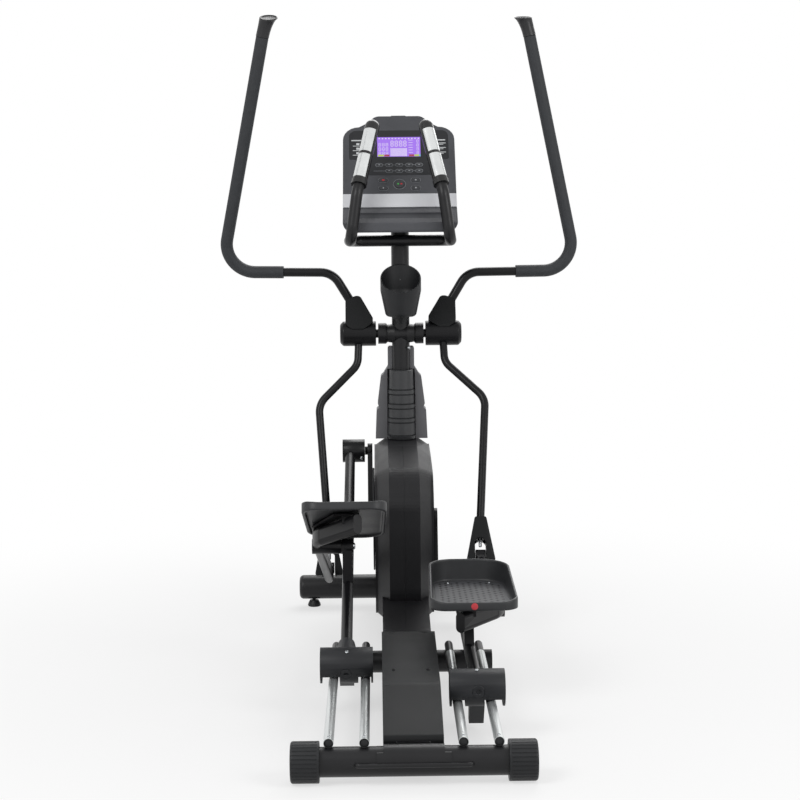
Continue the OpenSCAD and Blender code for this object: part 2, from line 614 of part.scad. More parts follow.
module console_back() color("#2d2e31") difference() {
    union() {
        face_frame() hull() {
            translate([0, 0, -face_t - 1]) linear_extrude(1) polygon(face_points);
            translate([0, back_shift, -face_t - console_t]) linear_extrude(1) polygon(face_points * back_share);
        }
        // socket that takes the mast
        place() block([-46, mast_y - 44, socket_low], [46, mast_y + 46, mast_top + 30]);
    }
    face_frame() translate([-console_w, -console_w, -face_t]) cube(3 * console_w);
    place() translate([0, mast_y, socket_low - 1])
        cylinder(h = mast_top + gap - socket_low + 1, d = mast_d + 2 * gap);
}
socket_low = 1128;
tray_front = mast_y - 135;
tray_low = 1104;
tray_corner = 30;
tray_drop = [sin(console_tilt), -cos(console_tilt)];
tray_seat = [console_y, console_z] - gap * [cos(console_tilt), sin(console_tilt)];
module reading_tray() color("#3f4043") place() difference() {
    side_plate(-half_w, half_w, rounded([[tray_front, tray_low], [tray_front, tray_low + 26],
        tray_seat, tray_seat + tray_drop * face_t, [mast_y - 48, tray_low]], [8, 6, 0, 0, 0]));
    // rounded lower corners
    both() translate([half_w - tray_corner, 0, tray_low + tray_corner]) rotate([90, 0, 0])
        translate([0, 0, -beyond]) linear_extrude(beyond) difference() {
            translate([0, -tray_corner - 1]) square(tray_corner + 1);
            circle(r = tray_corner, $fn = 64);
        }
    // shallow trough that holds a book or phone
    translate([0, tray_front + 30, tray_low + 47]) rotate([0, 90, 0])
        cylinder(h = console_w - 36, d = 26, center = true);
}
// ---- fixed handlebar ---------------------------------------------------------------------------
fixed_y = mast_y - mast_d / 2 - bar_tube_d / 2 - gap;
fixed_z = 1078;
grip_low = [119, mast_y - 155, fixed_z + 139];
grip_high = [77, mast_y - 53, fixed_z + 314];
fixed_side = [[144, fixed_y, fixed_z], [138, mast_y - 165, fixed_z + 6], grip_low, grip_high];
fixed_path = concat([for (i = [3 : -1 : 0]) [-fixed_side[i][0], fixed_side[i][1], fixed_side[i][2]]], fixed_side);
module handlebar() color("#1d1d1f") place() bent_tube(fixed_path, [60, 40, 40, 40, 40, 60], bar_tube_d,
    bar_tube_d - 2 * frame_wall);
grip_dir = unit(grip_high - grip_low);
grip_start = grip_low + grip_dir * 26;
plate_spread = 210;
plate_t_pulse = 0.8;
plate_spots = [16, 98];
plate_length = 74;
// Part of a ring along the grip from a to b, open towards the inner side.
module contact_ring(a, b, r0, r1, spread) {
    z = unit(b - a);
    user = [0.85, -0.5, 0];
    x = unit(user - z * (user * z));
    y = cross(z, x);
    multmatrix([[x[0], y[0], z[0], a[0]], [x[1], y[1], z[1], a[1]], [x[2], y[2], z[2], a[2]]])
        rotate([0, 0, -spread / 2]) rotate_extrude(angle = spread)
        translate([r0, 0]) square([r1 - r0, norm(b - a)]);
}
// Plastic sleeves with a rounded end cap round the upper ends of the handlebar.
module pulse_grips() color("#1a1a1b") place() both() difference() {
    union() {
        stretch(grip_start, grip_high + grip_dir * 6, pulse_d);
        translate(grip_high + grip_dir * 6) sphere(d = pulse_d - 0.2);
        stretch(grip_start - grip_dir * 4, grip_start + grip_dir * 10, pulse_d + 3);
    }
    stretch(grip_start - grip_dir * 8, grip_high + grip_dir * gap, bar_tube_d + 2 * gap);
    for (t = plate_spots) contact_ring(grip_start + grip_dir * t, grip_start + grip_dir * (t + plate_length),
        pulse_d / 2 - plate_t_pulse, pulse_d, plate_spread);
}
module pulse_plates() color("#d0d3d5") place() both() for (t = plate_spots)
    contact_ring(grip_start + grip_dir * (t + gap), grip_start + grip_dir * (t + plate_length - gap),
        pulse_d / 2 - plate_t_pulse + 0.1, pulse_d / 2 + 0.1, plate_spread - 2);

// ---- crank and drive ---------------------------------------------------------------------------
crank_in = side_x + 6;
crank_t = 14;
pin_in = bar_x - 42;
pulley_x = 50;
pulley_w = 14;
module crank_axle() color("#8b8e92") place() translate([0, crank_y, crank_z])
    shaft(-crank_in - crank_t, crank_in + crank_t, crank_axle_d);
module crank_arms() color("#202022") for (side = [left, right])
    place() translate([0, crank_y, crank_z]) sided(side)
    rotate([side == left ? crank_angle : 180 + crank_angle, 0, 0]) {
        difference() {
            union() {
                shaft(crank_in, crank_in + crank_t, 58);
                translate([0, crank_r, 0]) shaft(crank_in, crank_in + crank_t, 42);
                translate([crank_in, 0, 0]) rotate([90, 0, 90]) linear_extrude(crank_t)
                    polygon([[0, -24], [crank_r, -17], [crank_r, 17], [0, 24]]);
            }
            shaft(crank_in - 1, crank_in + crank_t + 1, crank_axle_d + 2 * fit);
        }
        // stepped crank pin
        translate([0, crank_r, 0]) shaft(crank_in + crank_t - 1, pin_in - side_gap, 24);
    }
module crank_discs() color("#2c2d30") place() translate([0, crank_y, crank_z]) both()
    shaft(side_x + 1, crank_in - gap, disc_d, crank_axle_d + 2 * fit, 96);
module drive_pulley() color("#9a9ca0") place() translate([0, crank_y, crank_z]) difference() {
    shaft(-pulley_x - pulley_w / 2, -pulley_x + pulley_w / 2, pulley_d, crank_axle_d + 2 * fit, 96);
    for (i = [0 : 4]) rotate([i * 72, 0, 0]) translate([0, pulley_d * 0.29, 0]) shaft(-70, 0, pulley_d * 0.22);
}
module flywheel() color("#6d7073") place() translate([0, flywheel_y, crank_z]) {
    difference() {
        shaft(-flywheel_t / 2, flywheel_t / 2, flywheel_d, 0, 96);
        for (side = [-1, 1]) translate([side * flywheel_t / 2, 0, 0])
            shaft(-7, 7, flywheel_d - 60, 50, 64);
    }
    shaft(-pulley_x - pulley_w / 2 - 4, cheek_x + 10, flywheel_axle_d);
    shaft(-pulley_x - pulley_w / 2, -pulley_x + pulley_w / 2, small_pulley_d);
}
belt_t = 2.4;
// Belt outline: chords just outside both pulleys, joined by the outer tangents.
belt_steps = 40;
function belt_arc(cy, r, a0, a1) = let (step = (a1 - a0) / belt_steps, out = r / cos(step / 2))
    [for (k = [0 : belt_steps]) [cy + out * cos(a0 + step * k), out * sin(a0 + step * k)]];
function belt_points(grow) = let (r1 = pulley_d / 2 + grow, r2 = small_pulley_d / 2 + grow,
        lean = acos((r1 - r2) / flywheel_back))
    concat(belt_arc(0, r1, -180 + lean, 180 - lean), belt_arc(-flywheel_back, r2, 180 - lean, 180 + lean));
module drive_belt() color("#161617") place() translate([-pulley_x - pulley_w / 2 + 1, crank_y, crank_z])
    rotate([90, 0, 90]) linear_extrude(pulley_w - 2) difference() {
        polygon(belt_points(gap + belt_t));
        polygon(belt_points(gap));
    }

// ---- rollers and foot bars ---------------------------------------------------------------------
axle_in = rail_inner_x - roller_w / 2 - 1;
axle_out = rail_outer_x + roller_w / 2 + 10;
module roller_axle(side) color("#8b8e92") bar_frame(side) shaft(axle_in, axle_out, roller_axle_d);
// Pair of grooved rollers that run on the two rails.
flange_t = 1.7;
tyre_w = roller_w - 2 * flange_t - 2 * gap;
// Two rollers, each a wheel between two flanges that run down beside the rail.
module rollers(side) color("#4b4c50") bar_frame(side) for (x = rail_spots) translate([x, 0, 0])
    difference() {
        union() {
            shaft(-tyre_w / 2, tyre_w / 2, 2 * roller_r, 0, 64);
            both() shaft(roller_w / 2 - flange_t, roller_w / 2, 2 * roller_r + 8, 0, 64);
        }
        shaft(-roller_w, roller_w, roller_axle_d + 2 * fit);
    }
sleeve_w = rail_outer_x - rail_inner_x - roller_w - 2 * side_gap;
hub_mid = (rail_inner_x + rail_outer_x) / 2;
module foot_bar(side) color("#1e1e20") bar_frame(side) difference() {
    union() {
        // sleeve on the roller axle
        shaft(hub_mid - sleeve_w / 2, hub_mid + sleeve_w / 2, 34);
        stretch([bar_x, 10, 0], [bar_x, bar_length - 20, 0], bar_d);
        // bearing housing at the crank pin
        translate([0, bar_length, 0]) shaft(pin_in, bar_x + 22, pin_housing_d);
        // bracket that carries the pedal arm
        side_plate(bar_x - 12, bar_x + 12, [[bracket_y - 46, 6], [bracket_y + 46, 6],
            [bracket_y + 17, bracket_h + 6], [bracket_y - 17, bracket_h + 6]]);
        translate([0, bracket_y, bracket_h]) shaft(bar_x - 15, bar_x + 15, 40);
        translate([0, bracket_y, bracket_h]) shaft(bar_x, arm_hub_out - 3, joint_d);
    }
    stretch([bar_x, 30, 0], [bar_x, bar_length - 45, 0], bar_d - 2 * frame_wall);
    shaft(0, 400, roller_axle_d + 2 * fit);
}
joint_d = 20;
cover_in = axle_in - 4;
cover_skin = 3;
cover_end = 4.5;
cover_open = -12;
module cover_ways() {
    shaft(cover_in + cover_skin, cover_in + roller_cover_w - cover_skin, roller_cover_d - 2 * cover_skin, 0, 64);
    stretch([bar_x, -60, 0], [bar_x, 200, 0], bar_d + 2 * gap);
}
// Moulded cover over the rollers with a boot round the foot bar, and the guard that hangs under it.
module roller_cover(side) color("#232326") bar_frame(side) {
    difference() {
        union() {
            shaft(cover_in, cover_in + roller_cover_w, roller_cover_d, 0, 64);
            hull() {
                translate([bar_x, 8, 10]) rotate([-90, 0, 0]) cylinder(h = 2, d = 58, $fn = 32);
                translate([bar_x, 86, 0]) rotate([-90, 0, 0]) cylinder(h = 2, d = 40, $fn = 32);
            }
        }
        cover_ways();
        // open underside, only the two end walls go down beside the rails
        rotate([-bar_tilt(side), 0, 0]) block([cover_in + cover_end, -70, -60],
            [cover_in + roller_cover_w - cover_end, 90, cover_open]);
    }
    // guard between the rails
    difference() {
        union() {
            shaft(rail_inner_x + 17, rail_outer_x - 17, roller_cover_d, 0, 64);
            side_plate(bar_x - 17, bar_x + 17, [[20, 0], [60, 0], [84, -96], [60, -100], [0, -30]]);
        }
        cover_ways();
        rotate([-bar_tilt(side), 0, 0]) block([0, -90, cover_open - gap], [300, 200, 90]);
    }
}

// ---- pedal arms and pedals ---------------------------------------------------------------------
arm_hub_in = bar_x + 15 + side_gap;
arm_hub_out = fork_x + 30;
arm_slope = -4.1;
arm_rise = 14;
arm_back = 205;
arm_bend_x = fork_x + 18;
arm_bend_v = 22;
module oval_section(grow) {
    square([arm_w + grow - hair, arm_h - arm_w], center = true);
    for (y = [-1, 1]) translate([0, y * (arm_h - arm_w) / 2]) circle(d = arm_w + grow);
}
// Plan of the pedal arm's centre line: outward from its rear cap, then forward to the fork.
arm_plan = [[120, -arm_back, 0], [arm_bend_x, -arm_bend_v - 20, 0], [fork_x, arm_length - 26, 0]];
arm_bend_r = [110];
module oval_stretch(a, b) {
    y = unit(b - a);
    multmatrix([[y[1], 0, y[0], a[0]], [-y[0], 0, y[1], a[1]], [0, 1, 0, a[2]]])
        linear_extrude(norm(b - a)) oval_section(0);
}
fork_gap = 30;
lug_w = fork_gap - 3;
module pedal_arm(side) color("#222225") arm_frame(side) difference() {
    union() {
        translate([0, 0, arm_rise]) rotate([arm_slope, 0, 0]) {
            reach_in = cut(arm_plan, arm_bend_r, 1) - lap;
            oval_stretch(arm_plan[0], arm_plan[1] - unit(arm_plan[1] - arm_plan[0]) * reach_in);
            elbow(arm_plan, arm_bend_r, 1) oval_section(hair);
            oval_stretch(arm_plan[1] + unit(arm_plan[2] - arm_plan[1]) * reach_in, arm_plan[2]);
        }
        shaft(arm_hub_in, arm_hub_out, 38);
        pedal_plate();
        // lug and sleeve at the fork
        translate([0, arm_length, 0]) shaft(fork_x - lug_w / 2, fork_x + lug_w / 2, 32);
        side_plate(fork_x - 10, fork_x + 10, [[arm_length - 50, -30], [arm_length - 10, -34],
            [arm_length + 14, -6], [arm_length - 8, 12], [arm_length - 50, -4]]);
    }
    shaft(arm_hub_in - 1, arm_hub_out - 2, joint_d + 2 * fit);
}
pedal_tilt = -5;
pedal_back = -222;
pedal_base = 62;
pedal_in = 48;
pedal_x = pedal_in + pedal_w / 2;
plate_t = 5;
// Plate under the pedal with two risers on the arm.
module pedal_plate() translate([pedal_x, pedal_back, pedal_base]) rotate([pedal_tilt, 0, 0]) {
    translate([0, 0, -gap - plate_t]) linear_extrude(plate_t)
        polygon([[-36, 45], [26, 45], [84, 180], [84, 296], [52, 296], [-36, 110]]);
    block([-16, 50, -24], [6, 84, -gap - 1]);
    block([58, 190, -14], [80, 230, -gap - 1]);
}
function pedal_outline(inset) = rounded([[-pedal_w / 2 + inset, inset], [pedal_w / 2 - inset, inset],
        [pedal_w / 2 - 8 - inset, pedal_l - inset], [-pedal_w / 2 + 6 + inset, pedal_l - inset]],
    [28 - inset / 2, 28 - inset / 2, 84 - inset, 62 - inset], 8);
module pedal(side) color("#2c2d2f") arm_frame(side) translate([pedal_x, pedal_back, pedal_base])
    rotate([pedal_tilt, 0, 0]) difference() {
        intersection() {
            linear_extrude(pedal_h) polygon(pedal_outline(0));
            side_plate(-pedal_w, pedal_w, rounded([[-5, 0], [-5, pedal_lip], [48, pedal_lip + 4],
                [190, pedal_h - 6], [pedal_l + 5, pedal_h], [pedal_l + 5, 0]], [0, 0, 60, 90, 0, 0], 8));
        }
        translate([0, 0, 10]) linear_extrude(pedal_h) polygon(pedal_outline(pedal_wall));
    }

// ---- swing arms --------------------------------------------------------------------------------
hub_mid_x = hub_x + hub_length / 2;
fork_top = -swing_r + 58;
fork_crown = -swing_r + 46;
lower_path = [[hub_mid_x, 0, -20], [hub_mid_x + 3, 0, -92], [fork_x + 28, 0, -206], [fork_x, 0, fork_top + 2]];
fork_plate = 6;
module swing_arm(side) color("#1d1d1f") swing_frame(side) {
    difference() {
        union() {
            rotate([0, 90, 0]) rotate_extrude($fn = 64) polygon(rounded([[0, hub_x], [hub_d / 2, hub_x],
                [hub_d / 2, hub_end - 6], [hub_d / 2 - 9, hub_end + 3], [0, hub_end + 3]], [0, 1.5, 6, 8, 0]));
            bent_tube(lower_path, [50, 60], swing_tube_d);
        }
        shaft(hub_x - 1, hub_end - 3.5, pivot_d + 2 * fit);
    }
    // clevis of the fork
    difference() {
        block([fork_x - fork_gap / 2 - fork_plate, -13, -swing_r - 16],
            [fork_x + fork_gap / 2 + fork_plate, 13, fork_top]);
        block([fork_x - fork_gap / 2, -20, -swing_r - 20], [fork_x + fork_gap / 2, 20, fork_crown]);
    }
}
cover_half_low = 40;
cover_depth = 42;
arch_half = fork_gap / 2;
module fork_cover(side) color("#1f1f22") swing_frame(side) translate([fork_x, 0, -swing_r]) difference() {
    translate([0, cover_depth / 2, 0]) rotate([90, 0, 0]) linear_extrude(cover_depth) polygon(rounded(
        [[-cover_half_low, -22], [cover_half_low, -22], [18, 106], [-13.5, 106]], [6, 6, 6, 6]));
    // arch between the legs
    translate([0, 60, 30]) rotate([90, 0, 0]) cylinder(h = 120, r = arch_half + 1);
    block([-arch_half - 1, -60, -60], [arch_half + 1, 60, 30]);
    // seat of the clevis and of the tube
    block([-arch_half - fork_plate - gap, -13 - gap, -60],
        [arch_half + fork_plate + gap, 13 + gap, fork_top + swing_r + gap]);
    translate([-fork_x, 0, swing_r]) stretch(lower_path[3] + unit(lower_path[3] - lower_path[2]) * 8,
        lower_path[2], swing_tube_d + 2 * gap);
}
handle_path = [[hub_mid_x, 0, 20], [hub_mid_x + 8, -8, 70], [194, -54, 168], [512, -48, 174],
    [373, -396, 752]];
foam_from = 334;
cap_lip = 9;
tip_dir = unit(handle_path[4] - handle_path[3]);
module upper_handle(side) color("#1b1b1d") swing_frame(side) difference() {
    bent_tube(handle_path, [60, 60, 80], handle_d, handle_d - 2 * frame_wall);
    shaft(0, 300, hub_d + 2 * gap);
}
foam_path = [[foam_from, handle_path[2][1] + 2.6, handle_path[2][2] + 2.6], handle_path[3],
    handle_path[4] - tip_dir * (cap_lip + gap)];
module foam_grip(side) color("#3f4146") swing_frame(side)
    bent_tube(foam_path, [80], foam_d, handle_d + 2 * gap);
module grip_cap(side) color("#28282b") swing_frame(side) difference() {
    hull() {
        translate(handle_path[4] - tip_dir * 9) sphere(d = foam_d + 1, $fn = 24);
        translate(handle_path[4] + tip_dir * 44 + [-9, 0, 0]) rotate([40, 0, 0]) scale([1, 1, 1])
            cylinder(h = 3, d = 52, $fn = 32);
    }
    stretch(handle_path[4] - tip_dir * 60, handle_path[4] - tip_dir * cap_lip, 80);
    stretch(handle_path[4] - tip_dir * 60, handle_path[4] + tip_dir * gap, handle_d + 2 * gap);
}
boot_out = hub_mid_x + 37;
boot_in = hub_mid_x - 43;
boot_face = hub_d / 2 + 3;
// Moulded boot that wraps the root of the upper handle on the user's side of the hub.
module handle_boot(side) color("#232326") swing_frame(side) difference() {
    intersection() {
        rotate([90, 0, 0]) translate([0, 0, -60]) linear_extrude(120) polygon(rounded([[boot_in + 36, 0],
            [boot_out - 24, 0], [boot_out, 18], [boot_out, 92], [boot_out - 30, 103], [boot_in + 38, 103],
            [boot_in, 34], [boot_in + 8, 18]], [14, 18, 20, 12, 14, 14, 12, 14]));
        side_plate(0, 300, rounded([[-boot_face, 0], [8, 0], [26, 30], [-6, 110], [-36, 110], [-boot_face, 40]],
            [8, 0, 20, 10, 12, 40]));
    }
    shaft(0, 300, hub_d + 2 * gap);
    bent_tube(handle_path, [60, 60, 80], handle_d + 2 * gap);
}

module housing_left() housing_half(left);
module housing_right() housing_half(right);
module foot_left() foot(left);
module foot_right() foot(right);

main_frame();
frame_brackets();
rear_stabiliser();
rear_caps();
front_stabiliser();
foot_left();
foot_right();
rail_tubes();
rail_sleeves();
mast();
housing_left();
housing_right();
mast_boot();
mast_shroud();
rear_cover();
cup_holder();
console_back();
console_front();
display_panel();
trim_band();
reading_tray();
key(key_spots[0]);  // key_a
key(key_spots[1]);  // key_b
key(key_spots[2]);  // key_c
key(key_spots[3]);  // key_d
console_key_round();  // key_round
handlebar();
pulse_grips();
pulse_plates();
crank_axle();
crank_arms();
crank_discs();
drive_pulley();
flywheel();
drive_belt();
roller_axle(left);  // roller_axle_left
roller_axle(right);  // roller_axle_right
rollers(left);  // rollers_left
rollers(right);  // rollers_right
foot_bar(left);  // foot_bar_left
foot_bar(right);  // foot_bar_right
roller_cover(left);  // roller_cover_left
roller_cover(right);  // roller_cover_right
pedal_arm(left);  // pedal_arm_left
pedal_arm(right);  // pedal_arm_right
pedal(left);  // pedal_left
pedal(right);  // pedal_right
swing_arm(left);  // swing_arm_left
swing_arm(right);  // swing_arm_right
fork_cover(left);  // fork_cover_left
fork_cover(right);  // fork_cover_right
upper_handle(left);  // upper_handle_left
upper_handle(right);  // upper_handle_right
foam_grip(left);  // foam_grip_left
foam_grip(right);  // foam_grip_right
handle_boot(left);  // handle_boot_left
handle_boot(right);  // handle_boot_right
grip_cap(left);  // grip_cap_left
grip_cap(right);  // grip_cap_right
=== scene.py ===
import json
import math

import bmesh
import bpy
import numpy as np
from mathutils import Matrix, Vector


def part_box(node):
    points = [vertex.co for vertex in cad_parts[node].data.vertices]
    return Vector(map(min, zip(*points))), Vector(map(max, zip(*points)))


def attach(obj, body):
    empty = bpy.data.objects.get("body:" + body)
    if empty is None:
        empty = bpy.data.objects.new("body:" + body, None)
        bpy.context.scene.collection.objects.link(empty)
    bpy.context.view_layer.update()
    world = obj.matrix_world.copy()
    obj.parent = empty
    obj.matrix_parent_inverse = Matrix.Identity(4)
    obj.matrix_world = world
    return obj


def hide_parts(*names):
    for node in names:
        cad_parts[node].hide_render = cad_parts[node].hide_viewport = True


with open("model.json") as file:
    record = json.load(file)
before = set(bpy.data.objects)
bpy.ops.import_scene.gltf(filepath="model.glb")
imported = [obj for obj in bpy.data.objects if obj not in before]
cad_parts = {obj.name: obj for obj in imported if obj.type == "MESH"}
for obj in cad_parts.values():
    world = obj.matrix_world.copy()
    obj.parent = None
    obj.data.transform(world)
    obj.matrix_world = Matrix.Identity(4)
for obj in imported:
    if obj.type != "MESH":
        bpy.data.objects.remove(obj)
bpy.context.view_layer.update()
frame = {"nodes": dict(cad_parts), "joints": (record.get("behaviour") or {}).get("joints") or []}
solids = frame["nodes"]

# ---- Stabilisers -------------------------------------------------------------------------------
# Powder-coated steel tubes across both ends. Fluted nylon caps carry the rear one on the floor, and
# two levelling feet on screws carry the front one.


def linear(code):
    """A colour code of six hex digits as the linear red, green, blue and alpha that a shader takes."""
    channels = [int(code[i:i + 2], 16) / 255 for i in (1, 3, 5)]
    return tuple(c / 12.92 if c <= 0.04045 else ((c + 0.055) / 1.055) ** 2.4 for c in channels) + (1.0,)


def add(tree, kind, settings=None, **sockets):
    """One shader node. Each named socket takes a plain value or another node's output."""
    made = tree.nodes.new(kind)
    for key, value in (settings or {}).items():
        setattr(made, key, value)
    for key, value in sockets.items():
        socket = made.inputs[int(key[1:])] if key[0] == "_" else made.inputs[key.replace("_", " ")]
        if isinstance(value, bpy.types.NodeSocket):
            tree.links.new(value, socket)
        else:
            socket.default_value = value
    return made


def ramp(tree, factor, stops):
    """Colours blended along factor: stops are (place, linear colour)."""
    made = add(tree, "ShaderNodeValToRGB", Fac=factor)
    for k, (place, colour) in enumerate(stops):
        stop = made.color_ramp.elements[k] if k < 2 else made.color_ramp.elements.new(place)
        stop.position, stop.color = place, colour
    return made.outputs["Color"]


def skin(name, dark, light, rough, patch=9.0, grain=900.0, relief=0.15, depth=0.0003,
         stretch=(1, 1, 1), spread=0.05, hollow_shade=None, **shader):
    """A finish: two tones in soft patches, roughness that wanders about rough by spread, and a fine
    bump of that grain. patch and grain count waves in a metre of the object, so a patch of 7 is 140 mm
    and a grain of 1500 is 0.7 mm; moulded and coated skins are drawn coarser than their real 0.1 to
    0.3 mm, which wouldn't show from here. depth is in metres. stretch draws the pattern out along an
    axis, as brushing does. hollow_shade is painted shade: a colour laid where the mesh's own "pit"
    attribute marks a hollow, in place of the shade that falls in it."""
    made = bpy.data.materials.new(name)
    made.use_nodes = True
    tree = made.node_tree
    bsdf = tree.nodes["Principled BSDF"]
    own = add(tree, "ShaderNodeTexCoord").outputs["Object"]
    place = add(tree, "ShaderNodeMapping", Vector=own, Scale=stretch).outputs["Vector"]
    broad = add(tree, "ShaderNodeTexNoise", Vector=place, Scale=patch, Detail=5.0,
                Roughness=0.6).outputs["Fac"]
    fine = add(tree, "ShaderNodeTexNoise", Vector=place, Scale=grain, Detail=2.0,
               Roughness=0.6).outputs["Fac"]
    colour = ramp(tree, broad, [(0.3, linear(dark)), (0.7, linear(light))])
    # Painted shade: where the "pit" attribute marks a hollow, the colour turns to the darker one given.
    if hollow_shade:
        marked = add(tree, "ShaderNodeAttribute", {"attribute_name": "pit"}).outputs["Fac"]
        colour = add(tree, "ShaderNodeMix", {"data_type": "RGBA"}, Factor=marked, _6=colour,
                     _7=linear(hollow_shade)).outputs[2]
    tree.links.new(colour, bsdf.inputs["Base Color"])
    shine = add(tree, "ShaderNodeMapRange", Value=broad, From_Min=0.3, From_Max=0.7,
                To_Min=rough - spread, To_Max=rough + spread).outputs["Result"]
    tree.links.new(shine, bsdf.inputs["Roughness"])
    bump = add(tree, "ShaderNodeBump", Height=fine, Strength=relief, Distance=depth).outputs["Normal"]
    tree.links.new(bump, bsdf.inputs["Normal"])
    for key, value in shader.items():
        bsdf.inputs[key.replace("_", " ")].default_value = value
    return made


def dress(material, *names, edge=0.0):
    """The CAD nodes of those names take that material. Where edge is given, in metres, their sharp
    edges, those that turn by more than the angle, are rounded by that much."""
    for name in names:
        mesh = solids[name].data
        mesh.materials.clear()
        mesh.materials.append(material)
        for face in mesh.polygons:
            face.material_index = 0
        if edge:
            weld = solids[name].modifiers.new("weld", "WELD")
            weld.merge_threshold = 0.00002
            bevel = solids[name].modifiers.new("edge", "BEVEL")
            bevel.width, bevel.segments, bevel.limit_method = edge, 2, "ANGLE"
            bevel.angle_limit = math.radians(38)
            bevel.harden_normals = True
            bevel.use_clamp_overlap = True


# Powder coat: satin black with the faint ripple of a sprayed and baked skin.
frame_coat = skin("powder_coat_black", "#141416", "#1a1a1c", 0.36, patch=7, grain=420, relief=0.12,
                  depth=0.0002, Specular_IOR_Level=0.3)
# Nylon: a duller, greyer black that takes the grain of its mould.
cap_nylon = skin("moulded_nylon_black", "#191a1c", "#222325", 0.46, patch=14, grain=1300, relief=0.2,
                 Specular_IOR_Level=0.3)
dress(frame_coat, "rear_stabiliser", "front_stabiliser", "main_frame", "frame_brackets", "mast",
      "handlebar", "rail_tubes")
dress(cap_nylon, "rear_caps", "foot_left", "foot_right")

cap_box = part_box("rear_caps")
rear_axis = (cap_box[0][1] + cap_box[1][1]) / 2

# ---- Rails -------------------------------------------------------------------------------------
# Two pairs of black steel tubes run forward over the cross tube, with plastic plugs in their rear
# ends. A bright plated sleeve wraps the top of each one, where the rollers run, and a small screw
# holds its rear end.


def loft(rings, ends=True):
    """A skin of four-sided faces between successive closed rings of points, which have equal counts:
    point i of a ring joins points i and i + 1 of the next. ends closes the first and the last ring
    with one face each."""
    rings = np.asarray(rings, float)
    index = np.arange(rings.shape[0] * rings.shape[1]).reshape(rings.shape[:2])
    beside = np.roll(index, -1, axis=1)
    faces = np.stack([index[:-1], beside[:-1], beside[1:], index[1:]], axis=-1).reshape(-1, 4).tolist()
    if ends:
        faces += [index[0][::-1].tolist(), index[-1].tolist()]
    return rings.reshape(-1, 3), faces


def joined(shapes):
    """Several shapes of points and faces as one."""
    points, faces, start = [], [], 0
    for some, their in shapes:
        points.append(some)
        faces += [[i + start for i in face] for face in their]
        start += len(some)
    return np.concatenate(points), faces


def circle(place, normal, radius, count=32):
    """A ring of points about place, square to normal: place plus radius times the cosine and sine of
    the turn along two directions that are square to normal and to each other."""
    normal = np.array(normal, float) / np.linalg.norm(normal)
    side = np.cross(normal, (0.0, 0.0, 1.0) if abs(normal[2]) < 0.9 else (0.0, 1.0, 0.0))
    side /= np.linalg.norm(side)
    turn = np.linspace(0, 2 * np.pi, count, endpoint=False)[:, None]
    other = np.cross(normal, side)
    return np.array(place, float) + radius * (np.cos(turn) * side + np.sin(turn) * other)


def turned(place, axis, profile, count=32):
    """A profile of (radius, height) pairs turned about the axis through place."""
    axis = np.array(axis, float) / np.linalg.norm(axis)
    return loft([circle(np.array(place, float) + height * axis, axis, radius, count)
                 for radius, height in profile])


def button(place, axis, width):
    """A button-head screw of that width that stands on place, with a socket in its crown."""
    half = width / 2
    profile = [(0.9, -0.1), (1, 0.05), (0.97, 0.22), (0.85, 0.42), (0.62, 0.58), (0.42, 0.62),
               (0.38, 0.58), (0.36, 0.2)]
    return turned(place, axis, [(r * half, h * half) for r, h in profile], 24)


def piece(name, shape, material, body, slot, replaced=(), crease=32, outward=True, **marks):
    """A mesh from points in mm, taken from the floor under the rear stabiliser's axis. It rides on
    body. marks are attributes, one number for each point."""
    points, faces = shape
    mesh = bpy.data.meshes.new(name)
    mesh.from_pydata((points * 0.001 + (0, rear_axis, 0)).tolist(), [], faces)
    if outward:
        work = bmesh.new()
        work.from_mesh(mesh)
        bmesh.ops.recalc_face_normals(work, faces=work.faces)
        work.to_mesh(mesh)
        work.free()
    mesh.shade_smooth()
    mesh.set_sharp_from_angle(angle=math.radians(crease))
    for key, values in marks.items():
        marked = mesh.attributes.new(key, "FLOAT", "POINT")
        marked.data.foreach_set("value", np.asarray(values, np.float32))
    mesh.materials.append(material)
    made = bpy.data.objects.new(name, mesh)
    bpy.context.collection.objects.link(made)
    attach(made, body)
    if replaced:
        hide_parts(*replaced)
    return made


def spot(node):
    """The lowest and highest corner of a CAD node, in mm from the floor under the rear axis."""
    lo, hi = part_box(node)
    return [np.array(corner) * 1000 - (0, rear_axis * 1000, 0) for corner in (lo, hi)]


# Plated steel: the brightest thing on the trainer, with highlights drawn out along the rail. Its
# brushing is drawn as waves of 0.2 mm across and 10 mm along.
rail_chrome = skin("plated_rail_steel", "#c6cacb", "#dfe2e1", 0.3, patch=5, grain=160, relief=0.05,
                   depth=0.0001, stretch=(30, 0.6, 30), Metallic=0.75)
# Zinc plate: small grey glints that pick the screws out of the black.
screw_zinc = skin("zinc_plated_screw", "#8d9093", "#b4b7b9", 0.25, patch=60, grain=700, relief=0.05,
                  Metallic=1.0)
dress(rail_chrome, "rail_sleeves")
sleeve_lo, sleeve_hi = spot("rail_sleeves")
rail_places = [s * x for s in (-1, 1) for x in (104, 179)]
rail_tube_r, screw_inset, screw_w = 10.2, 12, 6.5
rail_screws = [button((x, sleeve_lo[1] + screw_inset, sleeve_hi[2] - 0.2), (0, 0, 1), screw_w)
               for x in rail_places]
piece("rail_screws", joined(rail_screws), screw_zinc, "frame", "axle_steel")
tube_lo, tube_hi = spot("rail_tubes")
plug_depth, plug_z = 4, tube_hi[2] - rail_tube_r
plug_profile = [(0.2, 3.2), (7.2, 3.2), (8.2, 2.6), (8.6, 1.4), (8.6, 0)]
rail_plugs = [turned((x, tube_lo[1] + plug_depth, plug_z), (0, -1, 0), plug_profile, 40)
              for x in rail_places]
piece("rail_plugs", joined(rail_plugs), cap_nylon, "frame", "cap_plastic")

